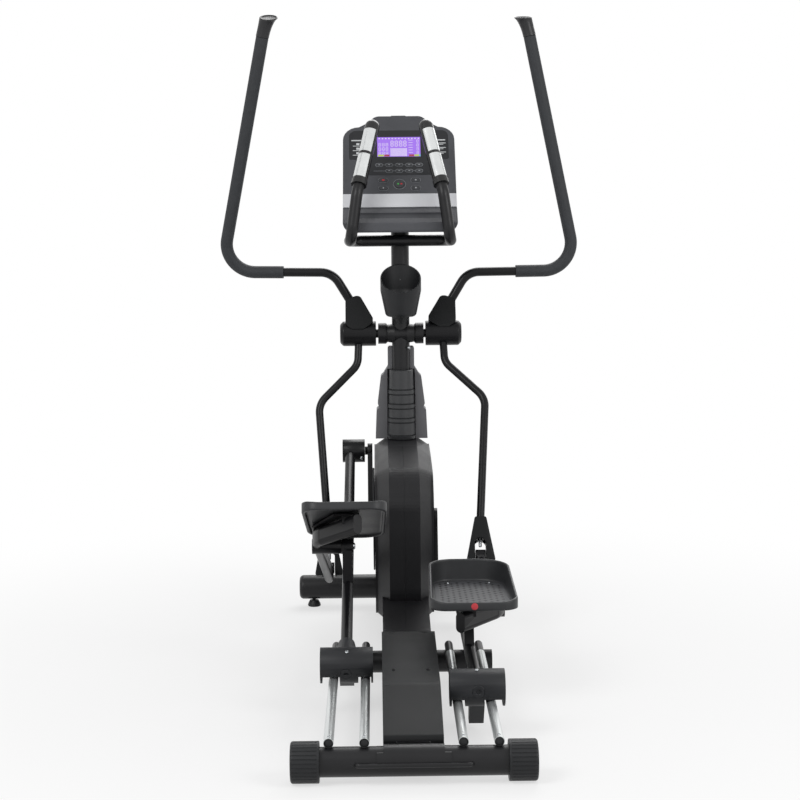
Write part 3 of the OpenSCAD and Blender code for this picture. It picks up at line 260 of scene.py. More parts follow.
# ---- Lifting rod -------------------------------------------------------------------------------
# A thin steel rod, bent at both ends and fixed to the back of the rear stabiliser, as a handhold to
# lift that end by.
rod_half, rod_foot, rod_out, rod_z, rod_r = 122, -24, 15.1, 47, 4.8
rod_bend = np.linspace(0, 1, 9)
rod_end = np.c_[rod_half - 9 * rod_bend ** 2, rod_foot - rod_out * np.sin(rod_bend * np.pi / 2)]
rod_way = np.concatenate([rod_end * (-1, 1), rod_end[::-1]])
rod_step = np.gradient(rod_way, axis=0)
rod = [circle((x, y, rod_z), (dx, dy, 0), rod_r, 24) for (x, y), (dx, dy) in zip(rod_way, rod_step)]
piece("lifting_rod", loft(rod), frame_coat, "frame", "frame_paint", crease=60)

# ---- Spine cover -------------------------------------------------------------------------------
# A folded moulded cover over the rear of the spine, bent where its ramp turns level. Two screws
# hold it near the bend, and two short slots at its front edge take the tongues of the housing.
# Dark ABS: a matt charcoal a little above black, for covers and lids.
abs_dark = skin("textured_abs_dark", "#1d1e20", "#252629", 0.48, patch=6, grain=1500, relief=0.3,
                Specular_IOR_Level=0.28)
# Painted shade: a near-black that stands in for the shade in a slot and on a sunk screw, which take
# hardly any light.
hole_painted_shade = skin("shadowed_hole", "#08080a", "#0d0d0f", 0.9, relief=0.02)
# Black ABS: the deepest of the moulded blacks, so the bright rails stand out beside it.
cover_abs = skin("textured_abs_black", "#121314", "#191a1b", 0.5, patch=6, grain=1500, relief=0.3,
                 Specular_IOR_Level=0.16)
dress(cover_abs, "rear_cover", edge=0.0012)
fixing_x, slot_half, slot_z = 39, 7, 158.9
# The two screw heads and two flat patches at the slots are drawn in that near-black: painted shade
# where the cover is sunk and slotted.
fixings = [button((s * fixing_x, 334, 148.0), (0, -0.04, 1), 8) for s in (-1, 1)]
for s in (-1, 1):
    foot = np.array([(s * fixing_x + dx, y, slot_z) for dx, y in
                     ((-slot_half, 630), (slot_half, 630), (slot_half, 635), (-slot_half, 635))])
    fixings.append(loft([foot, foot + (0, 0.04, 0.9)]))
piece("cover_screws", joined(fixings), hole_painted_shade, "frame", "cap_plastic")

# ---- Housing -----------------------------------------------------------------------------------
# Two moulded ABS halves meet on the centre plane and close in the flywheel, the belt and the crank
# axle. The frame carries them.
# Charcoal ABS: large plain flanks whose soft sheen shows their broad bevels.
abs_charcoal = skin("textured_abs_charcoal", "#171719", "#202022", 0.44, patch=5, grain=1500,
                    relief=0.35, Specular_IOR_Level=0.22)
dress(abs_charcoal, "housing_left", "housing_right", edge=0.002)

# ---- Crank and drive ---------------------------------------------------------------------------
# Steel crank arms are fixed on the ends of a turned axle, over smooth plastic cover discs. Inside,
# the axle carries a nylon pulley, and a ribbed belt from it drives an iron flywheel.
# Turned steel: a plain grey with the fine rings of the lathe.
turned_steel = skin("turned_steel", "#7e8184", "#9da0a3", 0.3, patch=20, grain=300, relief=0.1,
                    Metallic=1.0)
# Glass-filled nylon: pale, dry and even.
pulley_nylon = skin("filled_nylon_grey", "#8f9195", "#9da0a3", 0.5, patch=20)
# Cast iron: a rough grey with a dull shine.
wheel_iron = skin("cast_iron_grey", "#5b5e61", "#727578", 0.45, patch=15, grain=500, relief=0.3,
                  Metallic=0.8)
# Belt rubber: black with no shine at all.
belt_rubber = skin("belt_rubber", "#131314", "#1c1c1d", 0.7)
# Powder coat of the moving arms: deeper black, with thin highlights along the tubes.
arm_coat = skin("powder_coat_arms", "#0f0f11", "#161618", 0.33, patch=7, grain=420, relief=0.1,
                depth=0.0002, Specular_IOR_Level=0.2)
dress(turned_steel, "crank_axle")
dress(pulley_nylon, "drive_pulley")
dress(wheel_iron, "flywheel")
dress(belt_rubber, "drive_belt")
dress(arm_coat, "crank_arms", edge=0.0015)
dress(abs_dark, "crank_discs", edge=0.0015)

# ---- Mast --------------------------------------------------------------------------------------
# A steel tube with the swing arms' hub welded through it. A ribbed boot and a stepped shroud hide
# its foot, and a moulded cup holder is clamped on its back.
# Grey ABS: clearly lighter than the black round it, for the console's body and its ledge.
abs_grey = skin("textured_abs_grey", "#45464a", "#505155", 0.5, patch=6, grain=1500, relief=0.3,
                Specular_IOR_Level=0.3)
# Boot ABS: between the grey and the black, so its ribs read as bands of light and dark.
abs_boot = skin("textured_abs_boot", "#292a2c", "#323335", 0.46, patch=6, grain=1500, relief=0.3)
dress(abs_boot, "mast_boot")
# Painted light: the lightest grey here, for the shroud that stands out in front. The shroud is moulded
# in charcoal, and this paleness stands in for the haze of light that falls on it from behind.
shroud_painted_haze = skin("textured_abs_pale", "#57575a", "#646467", 0.5, patch=6, grain=1500, relief=0.3)
dress(shroud_painted_haze, "mast_shroud", edge=0.0015)
dress(cap_nylon, "cup_holder")
hub = {joint["name"]: np.array(joint["pos_m"]) * 1000 - (0, rear_axis * 1000, 0)
       for joint in frame["joints"] if "pos_m" in joint}
mast_y, pivot_z = hub["swing_hinge_left"][1:]
mast_screws = [button((22.8, mast_y - 24, 771), (0.35, -1, 0), 9),
               button((-2, mast_y - 29, 966), (0, -1, 0), 8)]
piece("mast_screws", joined(mast_screws), screw_zinc, "frame", "axle_steel")

# ---- Roller carriages and foot bars ------------------------------------------------------------
# Two flanged rollers on a turned axle run on each pair of rails, under a moulded cover that is bolted
# to the rear end of the foot bar. The bar is a steel tube that leads from them to the crank's pin.
dress(turned_steel, "roller_axle_left", "roller_axle_right")
# Polyurethane: a mid grey, matt and slightly waxy.
roller_pu = skin("polyurethane_grey", "#46474b", "#505156", 0.55)
dress(roller_pu, "rollers_left", "rollers_right")
dress(abs_dark, "roller_cover_left", "roller_cover_right", edge=0.004)
dress(arm_coat, "foot_bar_left", "foot_bar_right", edge=0.0015)
bar_length, swing_length, arm_length = 1100.0, 675.0, 505.0
bar_x, elbow_along, elbow_up = 149, 400, 90
drum_ends, drum_outer, drum_inner = (90.2, 205.8), 41.9, 39.2
lid_back, lid_profile = -37.6, [(14, 0), (14.2, 3.4), (13.2, 4.2), (7, 4.2), (6, 3.4), (5.4, 1.2)]


def pitched(points, degrees, place):
    """Points turned about the X axis by degrees, then moved to place."""
    c, s = math.cos(math.radians(degrees)), math.sin(math.radians(degrees))
    x, y, z = np.moveaxis(np.asarray(points, float), -1, 0)
    return np.stack([x + place[0], y * c - z * s + place[1], y * s + z * c + place[2]], axis=-1)


def cover_curtain(in_front):
    """The drum's wall between its ends, from the cut below the axle down to just over the rails: an
    arc of a tube about the axle, from 197 to 207 degrees behind it, or mirrored to lie in front."""
    sweep = np.radians(np.linspace(197, 207, 9))
    sweep = np.pi - sweep if in_front else sweep
    ring = np.concatenate([np.c_[r * np.cos(way), r * np.sin(way)]
                           for r, way in ((drum_outer, sweep), (drum_inner, sweep[::-1]))])
    return loft([np.c_[np.full(len(ring), x), ring] for x in drum_ends])


tilt, pitch, lean = {}, {}, {}
for side, s in (("left", -1), ("right", 1)):
    axle, elbow = hub["foot_bar_hinge_" + side], hub["pedal_arm_hinge_" + side]
    reach = np.array([mast_y - elbow[1], pivot_z - elbow[2]])
    span = np.linalg.norm(reach)
    rise = math.atan2(elbow[2] - axle[2], elbow[1] - axle[1])
    tilt[side] = math.degrees(rise - math.atan2(elbow_up, elbow_along))
    inner = math.acos((arm_length ** 2 + span ** 2 - swing_length ** 2) / (2 * arm_length * span))
    pitch[side] = math.degrees(math.atan2(reach[1], reach[0]) - inner)
    fork = pitched([(0, arm_length, 0)], pitch[side], elbow)[0]
    lean[side] = math.degrees(math.atan2(mast_y - fork[1], pivot_z - fork[2]))
    # two on the cover, one behind the crank's bearing and the head of the pedal arm's pivot: the foot,
    # the axis and the width of each
    bolts = [((bar_x - 2, -8, 41.6), (0, -0.25, 1), 9), ((bar_x, 46, 26), (0, -0.4, 1), 9),
             ((116, bar_length - 32.7, -6), (0, -1, 0), 10),
             ((bar_x - 14.8, elbow_along, elbow_up), (-1, 0, 0), 18)]
    heads = [(pitched(points * (s, 1, 1), tilt[side], axle), faces)
             for points, faces in (button(*bolt) for bolt in bolts)]
    piece("cover_bolts_" + side, joined(heads), screw_zinc, "bar_" + side, "axle_steel")
    lid = turned((bar_x, lid_back, 0), (0, -1, 0), lid_profile, 40)
    piece("cover_lid_" + side, (pitched(lid[0] * (s, 1, 1), tilt[side], axle), lid[1]), abs_dark,
          "bar_" + side, "cover_plastic")
    curtains = [(points * (s, 1, 1) + axle * (0, 1, 1), faces)
                for points, faces in (cover_curtain(False), cover_curtain(True))]
    piece("cover_curtain_" + side, joined(curtains), abs_dark, "bar_" + side, "cover_plastic")

# ---- Pedal arms and pedals ---------------------------------------------------------------------
# An oval steel tube hinges on the foot bar and runs forward to the fork of the swing arm. The pedal
# is a nylon tray with a high toe wall, a low rear lip and a tread of raised rows round small hollows.
dress(arm_coat, "pedal_arm_left", "pedal_arm_right", edge=0.0015)


def rounded(corners, radii, steps=8):
    """The corners of a closed outline, each replaced by an arc of its radius in steps. The arc's
    middle lies on the bisector, and its points go from one tangent point to the other in equal turns,
    as sines of the turn that is left and of the turn that is done."""
    corners = np.asarray(corners, float)
    arcs = []
    for k, radius in enumerate(radii):
        back, here, on = corners[k - 1], corners[k], corners[(k + 1) % len(corners)]
        u = (back - here) / np.linalg.norm(back - here)
        v = (on - here) / np.linalg.norm(on - here)
        half = math.acos(float(u @ v)) / 2
        middle = here + (u + v) / np.linalg.norm(u + v) * radius / math.sin(half)
        start = here + u * radius / math.tan(half) - middle
        end = here + v * radius / math.tan(half) - middle
        share = np.linspace(0, 1, steps + 1)[:, None]
        whole = math.pi - 2 * half
        blend = np.sin((1 - share) * whole) * start + np.sin(share * whole) * end
        arcs.append(middle + blend / math.sin(whole))
    return np.concatenate(arcs)


pedal_w, pedal_l, floor_inset = 210, 330, 13
pedal_x, pedal_back, pedal_base, pedal_tilt = 153, -222, 62, -5
heel_r, toe_outer_r, toe_inner_r = 40, 84, 62
column_pitch, row_pitch, pit_half_w, pit_half_l, pit_depth = 14.5, 28, 5.4, 11.0, 0.9
tread_top, tread_edge = 10.5, 9.7


def pedal_outline(inset):
    """Plan of the pedal, drawn in by inset: across, along. It narrows a little towards the toe, and
    the corners' radii shrink with the inset."""
    half = pedal_w / 2 - inset
    corners = [(-half, inset), (half, inset), (half - 8, pedal_l - inset), (6 - half, pedal_l - inset)]
    radii = [heel_r - inset / 2, heel_r - inset / 2, toe_outer_r - inset, toe_inner_r - inset]
    return rounded(corners, radii, 14)


def rim_height(outline):
    """Height of the pedal's rim: a low lip behind, lower still in its middle, that sweeps up to the
    toe wall. A line of straight stretches is averaged over 26 mm to each side, and the sag falls off
    with the fourth power across and evenly along."""
    across, along = outline.T
    swept = [np.interp(along + d, (-60, 20, 60, 190, 335), (24, 24, 30, 60, 66))
             for d in np.linspace(-26, 26, 9)]
    sag = 5.5 * np.clip(1 - (np.abs(across) / 92) ** 4, 0, 1) * np.clip(1 - along / 70, 0, 1)
    return np.mean(swept, axis=0) - sag


def pedal_tray():
    """Rings from the middle of the hollow underside, out over the rim and back to the floor. Each is
    the outline drawn in by an inset, at a height of its own or a little under the rim."""
    under = [(16, 5.6), (11, 5.6), (9.5, 4.5), (9, 0.6), (8.4, 0), (2.4, 0), (0.6, 0.8), (0, 2.6),
             (0, 7)]
    rim = [(0, 4.0), (0.7, 1.4), (2.2, 0.2), (3.8, 0), (5.4, 0.6), (6.4, 2.2), (6.8, 5)]
    floor = [(7.6, 16), (8.6, 12.4), (11, 10.4), (15, 9.2)]
    rings = []
    for inset, z in under:
        rings.append(np.insert(pedal_outline(inset), 2, z, axis=1))
    for inset, drop in rim:
        outline = pedal_outline(inset)
        rings.append(np.c_[outline, rim_height(outline) - drop])
    for inset, z in floor:
        rings.append(np.insert(pedal_outline(inset), 2, z, axis=1))
    return loft(rings)


def tread_sheet():
    """A fine grid over the pedal's floor, with diamond hollows in staggered columns, and how deep
    each point lies in one from 0 to 1: three times one less the distances across and along from the
    hollow's middle, as shares of its half width and half length, cut to that range. The columns are
    14.5 mm apart, and the hollows in one column are 28 mm apart."""
    edge = pedal_outline(floor_inset)
    low, high = edge[:, 1].min() + 0.5, edge[:, 1].max() - 0.5
    along = np.linspace(low, high, 150)
    right_half, left_half = (part[np.argsort(part[:, 1])]
                             for part in (edge[edge[:, 0] > 0], edge[edge[:, 0] < 0]))
    far = np.interp(along, right_half[:, 1], right_half[:, 0])
    near = np.interp(along, left_half[:, 1], left_half[:, 0])
    across = near[:, None] + (far - near)[:, None] * np.linspace(0, 1, 130)[None, :]
    along = np.broadcast_to(along[:, None], across.shape)
    column = np.round(across / column_pitch)
    du = across - column * column_pitch
    dv = (along + row_pitch // 2 * (column % 2)) % row_pitch - row_pitch // 2
    inside = (along > low + 12) & (along < high - 16)
    inside &= (across > near[:, None] + 8) & (across < far[:, None] - 8)
    pit = np.clip(3 * (1 - np.abs(du) / pit_half_w - np.abs(dv) / pit_half_l), 0, 1) * inside
    height = tread_top - pit_depth * pit
    height[[0, -1]] = tread_edge
    height[:, [0, -1]] = tread_edge
    points = np.stack([across, along, height], axis=-1)
    index = np.arange(across.size).reshape(across.shape)
    faces = np.stack([index[:-1, :-1], index[:-1, 1:], index[1:, 1:], index[1:, :-1]], axis=-1)
    return points.reshape(-1, 3), faces.reshape(-1, 4).tolist(), pit.reshape(-1)


def on_pedal(points, side):
    """From the pedal's own across, along and up to its place on that side."""
    on_arm = pitched(points, pedal_tilt, (pedal_x, pedal_back, pedal_base))
    on_bar = pitched(on_arm, pitch[side], hub["pedal_arm_hinge_" + side])
    return on_bar * (-1 if side == "left" else 1, 1, 1)


# Tough nylon: a dark grey tray whose rim catches a soft line of light.
pedal_nylon = skin("tough_nylon_pedal", "#242527", "#2e2f31", 0.45, patch=12, grain=900, relief=0.3,
                   Specular_IOR_Level=0.35)
# Tread nylon: paler than the tray. Its hollows are painted near-black, as painted shade in place of the
# shade that falls in them, and so draw the pattern.
tread_nylon = skin("tread_nylon_pedal", "#434447", "#4d4e50", 0.55, patch=12, grain=900, relief=0.3,
                   hollow_shade="#0b0b0c", Specular_IOR_Level=0.3)
# Plain red print: the one spot of colour low on the trainer.
disc_red = skin("plain_red_disc", "#b8323a", "#c23a42", 0.4, relief=0.0)
for side, s in (("left", -1), ("right", 1)):
    tray = pedal_tray()
    piece("pedal_tray_" + side, (on_pedal(tray[0], side), tray[1]), pedal_nylon, "step_" + side,
          "pedal_plastic", ("pedal_" + side,), crease=50)
    points, faces, pit = tread_sheet()
    faces = [face[::-1] for face in faces] if s < 0 else faces
    piece("pedal_tread_" + side, (on_pedal(points, side), faces), tread_nylon, "step_" + side,
          "pedal_plastic", outward=False, crease=60, pit=pit)
    screws = joined([button((x, 292, 10.2), (0, 0, 1), 7) for x in (-52, 52)])
    piece("pedal_screws_" + side, (on_pedal(screws[0], side), screws[1]), screw_zinc, "step_" + side,
          "axle_steel")
disc = turned((0, 0.3, 11), (0, -1, 0), [(8, 0), (8, 0.35), (7.6, 0.5)], 40)
piece("pedal_disc", (on_pedal(disc[0], "right"), disc[1]), disc_red, "step_right", "pedal_plastic")

# ---- Swing arms --------------------------------------------------------------------------------
# Bent steel tubes on hubs at the mast. The lower ones end in forks under moulded covers, and the
# upper ones rise to foam-covered grips with a flared rubber cap.
dress(arm_coat, "swing_arm_left", "swing_arm_right", "upper_handle_left", "upper_handle_right")
dress(cover_abs, "fork_cover_left", "fork_cover_right", "handle_boot_left", "handle_boot_right",
      edge=0.0015)
# Closed-cell foam: a pitted grey-black, clearly rougher than the tubes. Its cells are drawn at 1.4
# mm, coarser than the real ones.
foam = skin("closed_cell_foam", "#292b2e", "#333538", 0.62, patch=60, grain=700, relief=0.5,
            depth=0.0005, Specular_IOR_Level=0.35)
dress(foam, "foam_grip_left", "foam_grip_right")
# Smooth rubber: a darker and shinier end to the rough foam.
cap_rubber = skin("smooth_cap_rubber", "#18181a", "#202022", 0.38, Specular_IOR_Level=0.4)
stud_foot, stud_profile = (208, 0, -629.2), [(6.5, 0), (6.5, 5), (4.2, 5.4), (4.2, 20), (3.2, 21.5)]
tip = np.array([373.0, -396, 752])
tip_dir = tip - (512, -48, 174)
tip_dir /= np.linalg.norm(tip_dir)


def flared_cap():
    """Rings that go from a round foot over the foam to a wider top face that slants to the user. Each
    is a blend of the foot's ring and the head's, where the head's share is a power of 1.7 of the way
    up."""
    share = np.linspace(0, 1, 15)
    top_normal = np.array([0, -math.sin(math.radians(40)), math.cos(math.radians(40))])
    top = tip + tip_dir * 43 + (-8, 0, 0)
    rings = [circle(tip - tip_dir * 9, tip_dir, 16.6, 48)]
    for k in share:
        ease = k ** 1.7
        foot = circle(tip + tip_dir * (-8 + 46 * k), tip_dir, 18.3 - 0.8 * math.sin(math.pi * k), 48)
        head = circle(top, top_normal, 25.2, 48)
        rings.append(foot * (1 - ease) + head * ease)
    for radius, height in ((25.4, 1.2), (24.6, 2.6), (23, 3.0), (21.8, 2.4), (20.8, 0.8), (17, 0.2)):
        rings.append(circle(top + top_normal * height, top_normal, radius, 48))
    return loft(rings)


for side, s in (("left", -1), ("right", 1)):
    pivot = hub["swing_hinge_" + side]
    stud = turned(stud_foot, (0, 0, -1), stud_profile, 32)
    piece("fork_stud_" + side, (pitched(stud[0], -lean[side], pivot) * (s, 1, 1), stud[1]), screw_zinc,
          "swing_" + side, "axle_steel")
    cap = flared_cap()
    piece("grip_flare_" + side, (pitched(cap[0], -lean[side], pivot) * (s, 1, 1), cap[1]), cap_rubber,
          "swing_" + side, "grip_rubber", ("grip_cap_" + side,), crease=50)

# ---- Fixed handlebar ---------------------------------------------------------------------------
# A bent steel tube is clamped across the mast below the console. Its raised ends carry plastic
# sleeves, with a pair of bright contact plates on each that feel the pulse.
# Polished plastic: black with a clear shine, unlike the matt foam above it.
grip_plastic = skin("polished_black_grip", "#0f0f10", "#161617", 0.25)
dress(grip_plastic, "pulse_grips")
# Plated contact steel: mirror-like patches that take the white of the room.
plate_chrome = skin("plated_contact_steel", "#cfd1d2", "#e6e8e7", 0.22, patch=5, grain=160,
                    relief=0.04, Metallic=0.8)
dress(plate_chrome, "pulse_plates")

# ---- Console -----------------------------------------------------------------------------------
# A moulded body with a dark display window, a silver band and a ledge for a book. Its face is worked
# in its own axes: across, up the face, and out of it.
dress(abs_grey, "console_front", "reading_tray", edge=0.0015)
dress(cap_nylon, "console_back", edge=0.002)
# Silver paint: a light band across the face, satin and a little metallic.
silver_paint = skin("silver_painted_plastic", "#cbccd0", "#dcdde0", 0.35, patch=4, Metallic=0.35)
dress(silver_paint, "trim_band", edge=0.0015)
# Smoked window: a smooth near-black in which the display glows.
window = skin("smoked_window", "#1f2023", "#26272a", 0.3, patch=5, relief=0.02,
              Specular_IOR_Level=0.3)
dress(window, "display_panel", edge=0.0004)
# Silicone: soft matt keys, a little paler than the window.
key_silicone = skin("silicone_key", "#2c2d30", "#35363a", 0.6, patch=40)
dress(key_silicone, "key_a", "key_b", "key_c", "key_d", "key_round")
face_tilt, face_place = 52, (0, 1462, 1172)


def on_face(shape):
    """A shape in the face's own axes, put in its place."""
    return pitched(shape[0], face_tilt, face_place), shape[1]


def bars(boxes, low, high):
    """Flat bars, each given by the left, lower, right and upper edge, from one height to another."""
    shapes = []
    for x0, v0, x1, v1 in boxes:
        foot = np.array([(x0, v0, low), (x1, v0, low), (x1, v1, low), (x0, v1, low)], float)
        shapes.append(loft([foot, foot + (0, 0, high - low)]))
    return joined(shapes)


def pill(x, v, width, height, count=40):
    """Outline of a key with round ends."""
    turn = np.linspace(0, 2 * np.pi, count, endpoint=False) + 0.01
    return np.c_[x + np.sign(np.cos(turn)) * (width - height) / 2 + height / 2 * np.cos(turn),
                 v + height / 2 * np.sin(turn)]


def line_round(x, v, width, height, thick, low, high):
    """A thin printed line that follows a key's outline."""
    outer, inner = pill(x, v, width, height), pill(x, v, width - 2 * thick, height - 2 * thick)
    rings = [np.c_[outline, np.full(len(outline), h)] for outline, h in
             ((outer, low), (outer, high), (inner, high), (inner, low))]
    points, faces = loft(rings, ends=False)
    count = len(outer)
    faces += [[3 * count + k, 3 * count + (k + 1) % count, (k + 1) % count, k] for k in range(count)]
    return points, faces


def glowing_mark(name, code, strength=1.0):
    """A mark that glows in its own colour: the backlit display's own light, and a painted glow on
    printed marks, which have no light of their own. The stronger the glow, the less it takes from the
    light that falls on it."""
    body = "#" + "".join(f"{int(int(code[i:i + 2], 16) * (1 - 0.9 * strength)):02x}" for i in (1, 3, 5))
    made = skin(name, body, body, 0.4, relief=0.0, Specular_IOR_Level=0.2)
    made.node_tree.nodes["Principled BSDF"].inputs["Emission Color"].default_value = linear(code)
    made.node_tree.nodes["Principled BSDF"].inputs["Emission Strength"].default_value = strength
    return made


def segment_digit(x, v, width, height, stroke):
    """The seven bars of a figure eight whose lower left corner is at x, v."""
    half = height / 2
    flat = [(x + stroke, v + k * half - stroke / 2, x + width - stroke, v + k * half + stroke / 2)
            for k in (0, 1, 2)]
    tall = [(x + u, v + k * half + stroke * 0.6, x + u + stroke, v + (k + 1) * half - stroke * 0.6)
            for u in (0, width - stroke) for k in (0, 1)]
    return flat + tall


lcd_lo, lcd_hi, lcd_half = 181, 252, 62
# Backlit glass: an even violet that shows its own light.
glass = glowing_mark("backlit_display_violet", "#a87bf2", 0.95)
piece("lcd_glass", on_face(bars([(-lcd_half, lcd_lo, lcd_half, lcd_hi)], 0.3, 0.62)), glass, "frame",
      "panel_gloss")
# Figures: near-white on the violet. They say nothing, every one is an eight.
white_mark = glowing_mark("display_mark_white", "#f1e8ff", 0.9)
figures = []
for k in range(4):
    figures += segment_digit(-23.5 + 12.3 * k, 218, 8.6, 20, 2.0)
for row, low_v in enumerate((219, 203, 187)):
    for k in range(3):
        figures += segment_digit(-58 + 10.2 * k, low_v, 7, 11, 1.2)
for row in range(4):
    figures += segment_digit(51, 190 + 14 * row, 6, 10, 1.0)
figures += [(-58 + 9.4 * k, 245, -54 + 9.4 * k, 248.5) for k in range(13)]
figures += [(28, 240 - 9 * k, 40, 241.4 - 9 * k) for k in range(6)]
dots = [(-24 + 3.2 * c, 183 + 3.2 * r, -21.6 + 3.2 * c, 185.4 + 3.2 * r)
        for c in range(15) for r in range(9)]
piece("lcd_figures", on_face(bars(figures + dots, 0.6, 0.72)), white_mark, "frame", "panel_gloss")
# Coloured bars: small yellow, red and cyan fields at the foot of the display.
for name, code, boxes in (("yellow", "#c9dc62", [(-60, 182, -43, 188.5), (44.5, 182, 57.5, 188.5)]),
                          ("red", "#b64a55", [(-42, 182, -27, 188.5), (29, 182, 43.5, 188.5)]),
                          ("cyan", "#5fd4cf", [(58, 182, 61.5, 188.5)])):
    piece("lcd_bar_" + name, on_face(bars(boxes, 0.6, 0.74)), glowing_mark("display_mark_" + name, code, 0.8),
          "frame", "panel_gloss")

# Grey print: thin lines round and between the keys, just lighter than the face, with a faint painted
# glow.
glowing_print_grey = glowing_mark("printed_line_grey", "#8d9094", 0.12)
row_high, row_low = 151, 129.5
row_keys = [(x, row_high) for x in (-57, -28.5, 0, 28.5, 57)]
row_keys += [(x, row_low) for x in (-28.5, 0, 28.5, 57)]
lines = [line_round(x, v, 22, 12.5, 1.0, 0.3, 0.75) for x, v in row_keys]
lines += [bars([(x + 11.6, v - 0.5, x + 16.9, v + 0.5) for x, v in row_keys if x < 50], 0.3, 0.75)]
lines += [bars([(-73, row_low - 0.5, -40, row_low + 0.5)], 0.3, 0.75)]
piece("key_row_lines", on_face(joined(lines)), glowing_print_grey, "frame", "panel_gloss")
domes = []
for x, v in row_keys:
    rings = [np.c_[pill(x, v, 19.4 - cut, 9.9 - cut), np.full(40, h)] for cut, h in
             ((0, 0.3), (0, 1.0), (0.6, 1.5), (2.2, 1.8), (5, 1.95))]
    domes.append(loft(rings))
piece("key_row_keys", on_face(joined(domes)), key_silicone, "frame", "key_rubber", crease=60)
# Pale print: a dab on each printed key, with a faint painted glow.
glowing_dab_pale = glowing_mark("printed_mark_pale", "#a9acb0", 0.15)
dabs = bars([(x - 2.2, v - 1.2, x + 2.2, v + 1.2) for x, v in row_keys], 1.9, 2.05)
piece("key_row_marks", on_face(dabs), glowing_dab_pale, "frame", "key_rubber")

# White print: bars in place of the labels beside the display, with a painted glow.
glowing_label_white = glowing_mark("printed_mark_white", "#e2e4e6", 0.3)
labels = [(-136, 238.5, -104, 242.5), (106, 238.5, 134, 242.5)]
for v in (227, 210.5, 194):
    labels += [(-122, v - 3, -113, v + 4), (-132, v - 7.5, -110, v - 5.5)]
    labels += [(109, v + 1, 135, v + 3.5), (112, v - 3.5, 128, v - 1.5)]
piece("panel_labels", on_face(bars(labels, 0.3, 0.7)), glowing_label_white, "frame", "panel_gloss")

key_spots = [(s * 46, v) for s in (-1, 1) for v in (96, 68)]
# Grey print rings, with a faint painted glow, round the four side keys and the round key.
rings_pale = [line_round(x, v, 29, 16, 0.8, 0.0, 0.5) for x, v in key_spots]
rings_pale.append(line_round(0, 82, 36, 35.9, 1.1, 0.0, 0.6))
piece("key_rings", on_face(joined(rings_pale)), glowing_print_grey, "frame", "console_plastic")
# Key prints: a plain spot on each key, red, grey or green, with a painted glow.
for name, code, body, boxes in (
        ("red", "#d8303a", "key_a", [(-49.5, 94, -42.5, 98)]),
        ("pale_b", "#b9bcc0", "key_b", [(-47.5, 66, -44.5, 70.5)]),
        ("pale_c", "#b9bcc0", "key_c", [(44, 94, 48.5, 98)]),
        ("pale_d", "#b9bcc0", "key_d", [(44, 66, 48.5, 70)]),
        ("go", "#4fc35a", "key_round", [(-6, 80, -1.5, 84.5)]),
        ("halt", "#d8303a", "key_round", [(3.2, 80, 7.7, 84.5)])):
    piece("key_mark_" + name, on_face(bars(boxes, 1.75, 2.05)), glowing_mark("key_mark_" + name, code, 0.4),
          body, "key_rubber")

# ---- Floor, light and camera -------------------------------------------------------------------
# A pale seamless floor takes the shadow and white surrounds light the trainer evenly. Three soft lamps
# shape it, and a long lens looks at it from the height of a person's chest.


def seen_directly(tree):
    """1 for rays from the camera, off shiny faces and through glass, and 0 for scattered light."""
    rays = add(tree, "ShaderNodeLightPath").outputs
    seen = add(tree, "ShaderNodeMath", {"operation": "MAXIMUM"}, _0=rays["Is Camera Ray"],
               _1=rays["Is Glossy Ray"]).outputs[0]
    return add(tree, "ShaderNodeMath", {"operation": "MAXIMUM"}, _0=seen,
               _1=rays["Is Transmission Ray"]).outputs[0]


def backdrop(name, solid_to, clear_from):
    """Paper that shows white to the camera and in reflections. Near the middle it also takes the
    shadow, which fades with distance from solid_to to clear_from."""
    made = bpy.data.materials.new(name)
    made.use_nodes = True
    tree = made.node_tree
    tree.nodes.clear()
    paper = add(tree, "ShaderNodeBsdfDiffuse", Color=linear("#f2f2f2"))
    white = add(tree, "ShaderNodeEmission", Color=(1, 1, 1, 1), Strength=1.0)
    place = add(tree, "ShaderNodeTexCoord").outputs["Object"]
    far = add(tree, "ShaderNodeVectorMath", {"operation": "LENGTH"}, Vector=place).outputs["Value"]
    keep = add(tree, "ShaderNodeMapRange", {"interpolation_type": "SMOOTHSTEP"}, Value=far,
               From_Min=solid_to, From_Max=clear_from, To_Min=0.4, To_Max=0.0).outputs["Result"]
    shown = add(tree, "ShaderNodeMixShader", Fac=keep, _1=white.outputs[0], _2=paper.outputs[0])
    both = add(tree, "ShaderNodeMixShader", Fac=seen_directly(tree), _1=paper.outputs[0],
               _2=shown.outputs[0])
    tree.links.new(both.outputs[0], add(tree, "ShaderNodeOutputMaterial").inputs["Surface"])
    return made


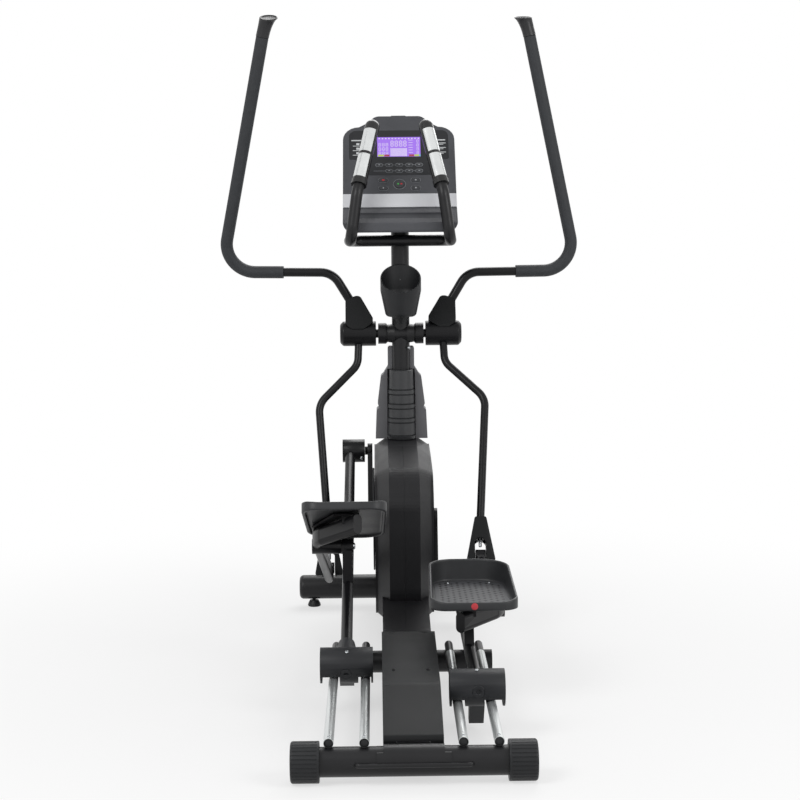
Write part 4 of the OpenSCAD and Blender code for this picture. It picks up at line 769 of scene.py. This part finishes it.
floor_half = 14.0
side_steps = np.linspace(-floor_half, floor_half, 3)
floor_points = np.array([(x, y, 0.0) for y in side_steps for x in side_steps])
floor_faces = [(r * 3 + c, r * 3 + c + 1, r * 3 + c + 4, r * 3 + c + 3)
               for r in range(2) for c in range(2)]
floor_mesh = bpy.data.meshes.new("studio_floor")
floor_mesh.from_pydata(floor_points.tolist(), [], floor_faces)
floor = bpy.data.objects.new("studio_floor", floor_mesh)
bpy.context.collection.objects.link(floor)
floor_mesh.materials.append(backdrop("studio_paper", 0.6, 2.2))

world = bpy.data.worlds.new("studio")
bpy.context.scene.world = world
world.use_nodes = True
sky = world.node_tree
level = add(sky, "ShaderNodeMapRange", Value=seen_directly(sky), To_Min=0.4,
            To_Max=1.0).outputs["Result"]
sky.nodes["Background"].inputs["Color"].default_value = (1, 1, 1, 1)
sky.links.new(level, sky.nodes["Background"].inputs["Strength"])


def lamp(name, place, target, size, power):
    """A square soft box at place that points at target."""
    data = bpy.data.lights.new(name, "AREA")
    data.size, data.energy = size, power
    made = bpy.data.objects.new(name, data)
    bpy.context.collection.objects.link(made)
    look = np.array(target, float) - np.array(place, float)
    made.location = place
    down = math.acos(-look[2] / np.linalg.norm(look))
    made.rotation_euler = (down, 0, math.atan2(look[1], look[0]) - math.pi / 2)
    return made


lamp("key_box", (-2.4, -2.6, 3.2), (0, 0, 0.8), 1.8, 70)
lamp("fill_box", (2.8, -2.2, 2.4), (0, 0, 0.8), 1.8, 50)
lamp("rim_box", (0.6, 2.8, 3.0), (0, 0, 1.0), 2.4, 60)

lens = bpy.data.cameras.new("camera")
lens.sensor_width, lens.lens = 36.0, 82.638
lens.clip_end = 60
camera = bpy.data.objects.new("camera", lens)
bpy.context.collection.objects.link(camera)
down, turn_right, roll = np.radians((7.034, 0.7047, -0.5192))
lens_place = (-0.0686, rear_axis - 3.7291, 1.2671)
ahead = np.array((math.sin(turn_right) * math.cos(down), math.cos(turn_right) * math.cos(down),
                  -math.sin(down)))
level_x = np.array((math.cos(turn_right), -math.sin(turn_right), 0.0))
up = np.cross(level_x, ahead)
pose = np.eye(4)
pose[:3, 0] = level_x * math.cos(roll) + up * math.sin(roll)
pose[:3, 1] = -level_x * math.sin(roll) + up * math.cos(roll)
pose[:3, 2] = -ahead
pose[:3, 3] = lens_place
camera.matrix_world = Matrix(pose.tolist())
bpy.context.scene.camera = camera
bpy.context.scene.view_settings.view_transform = "Standard"
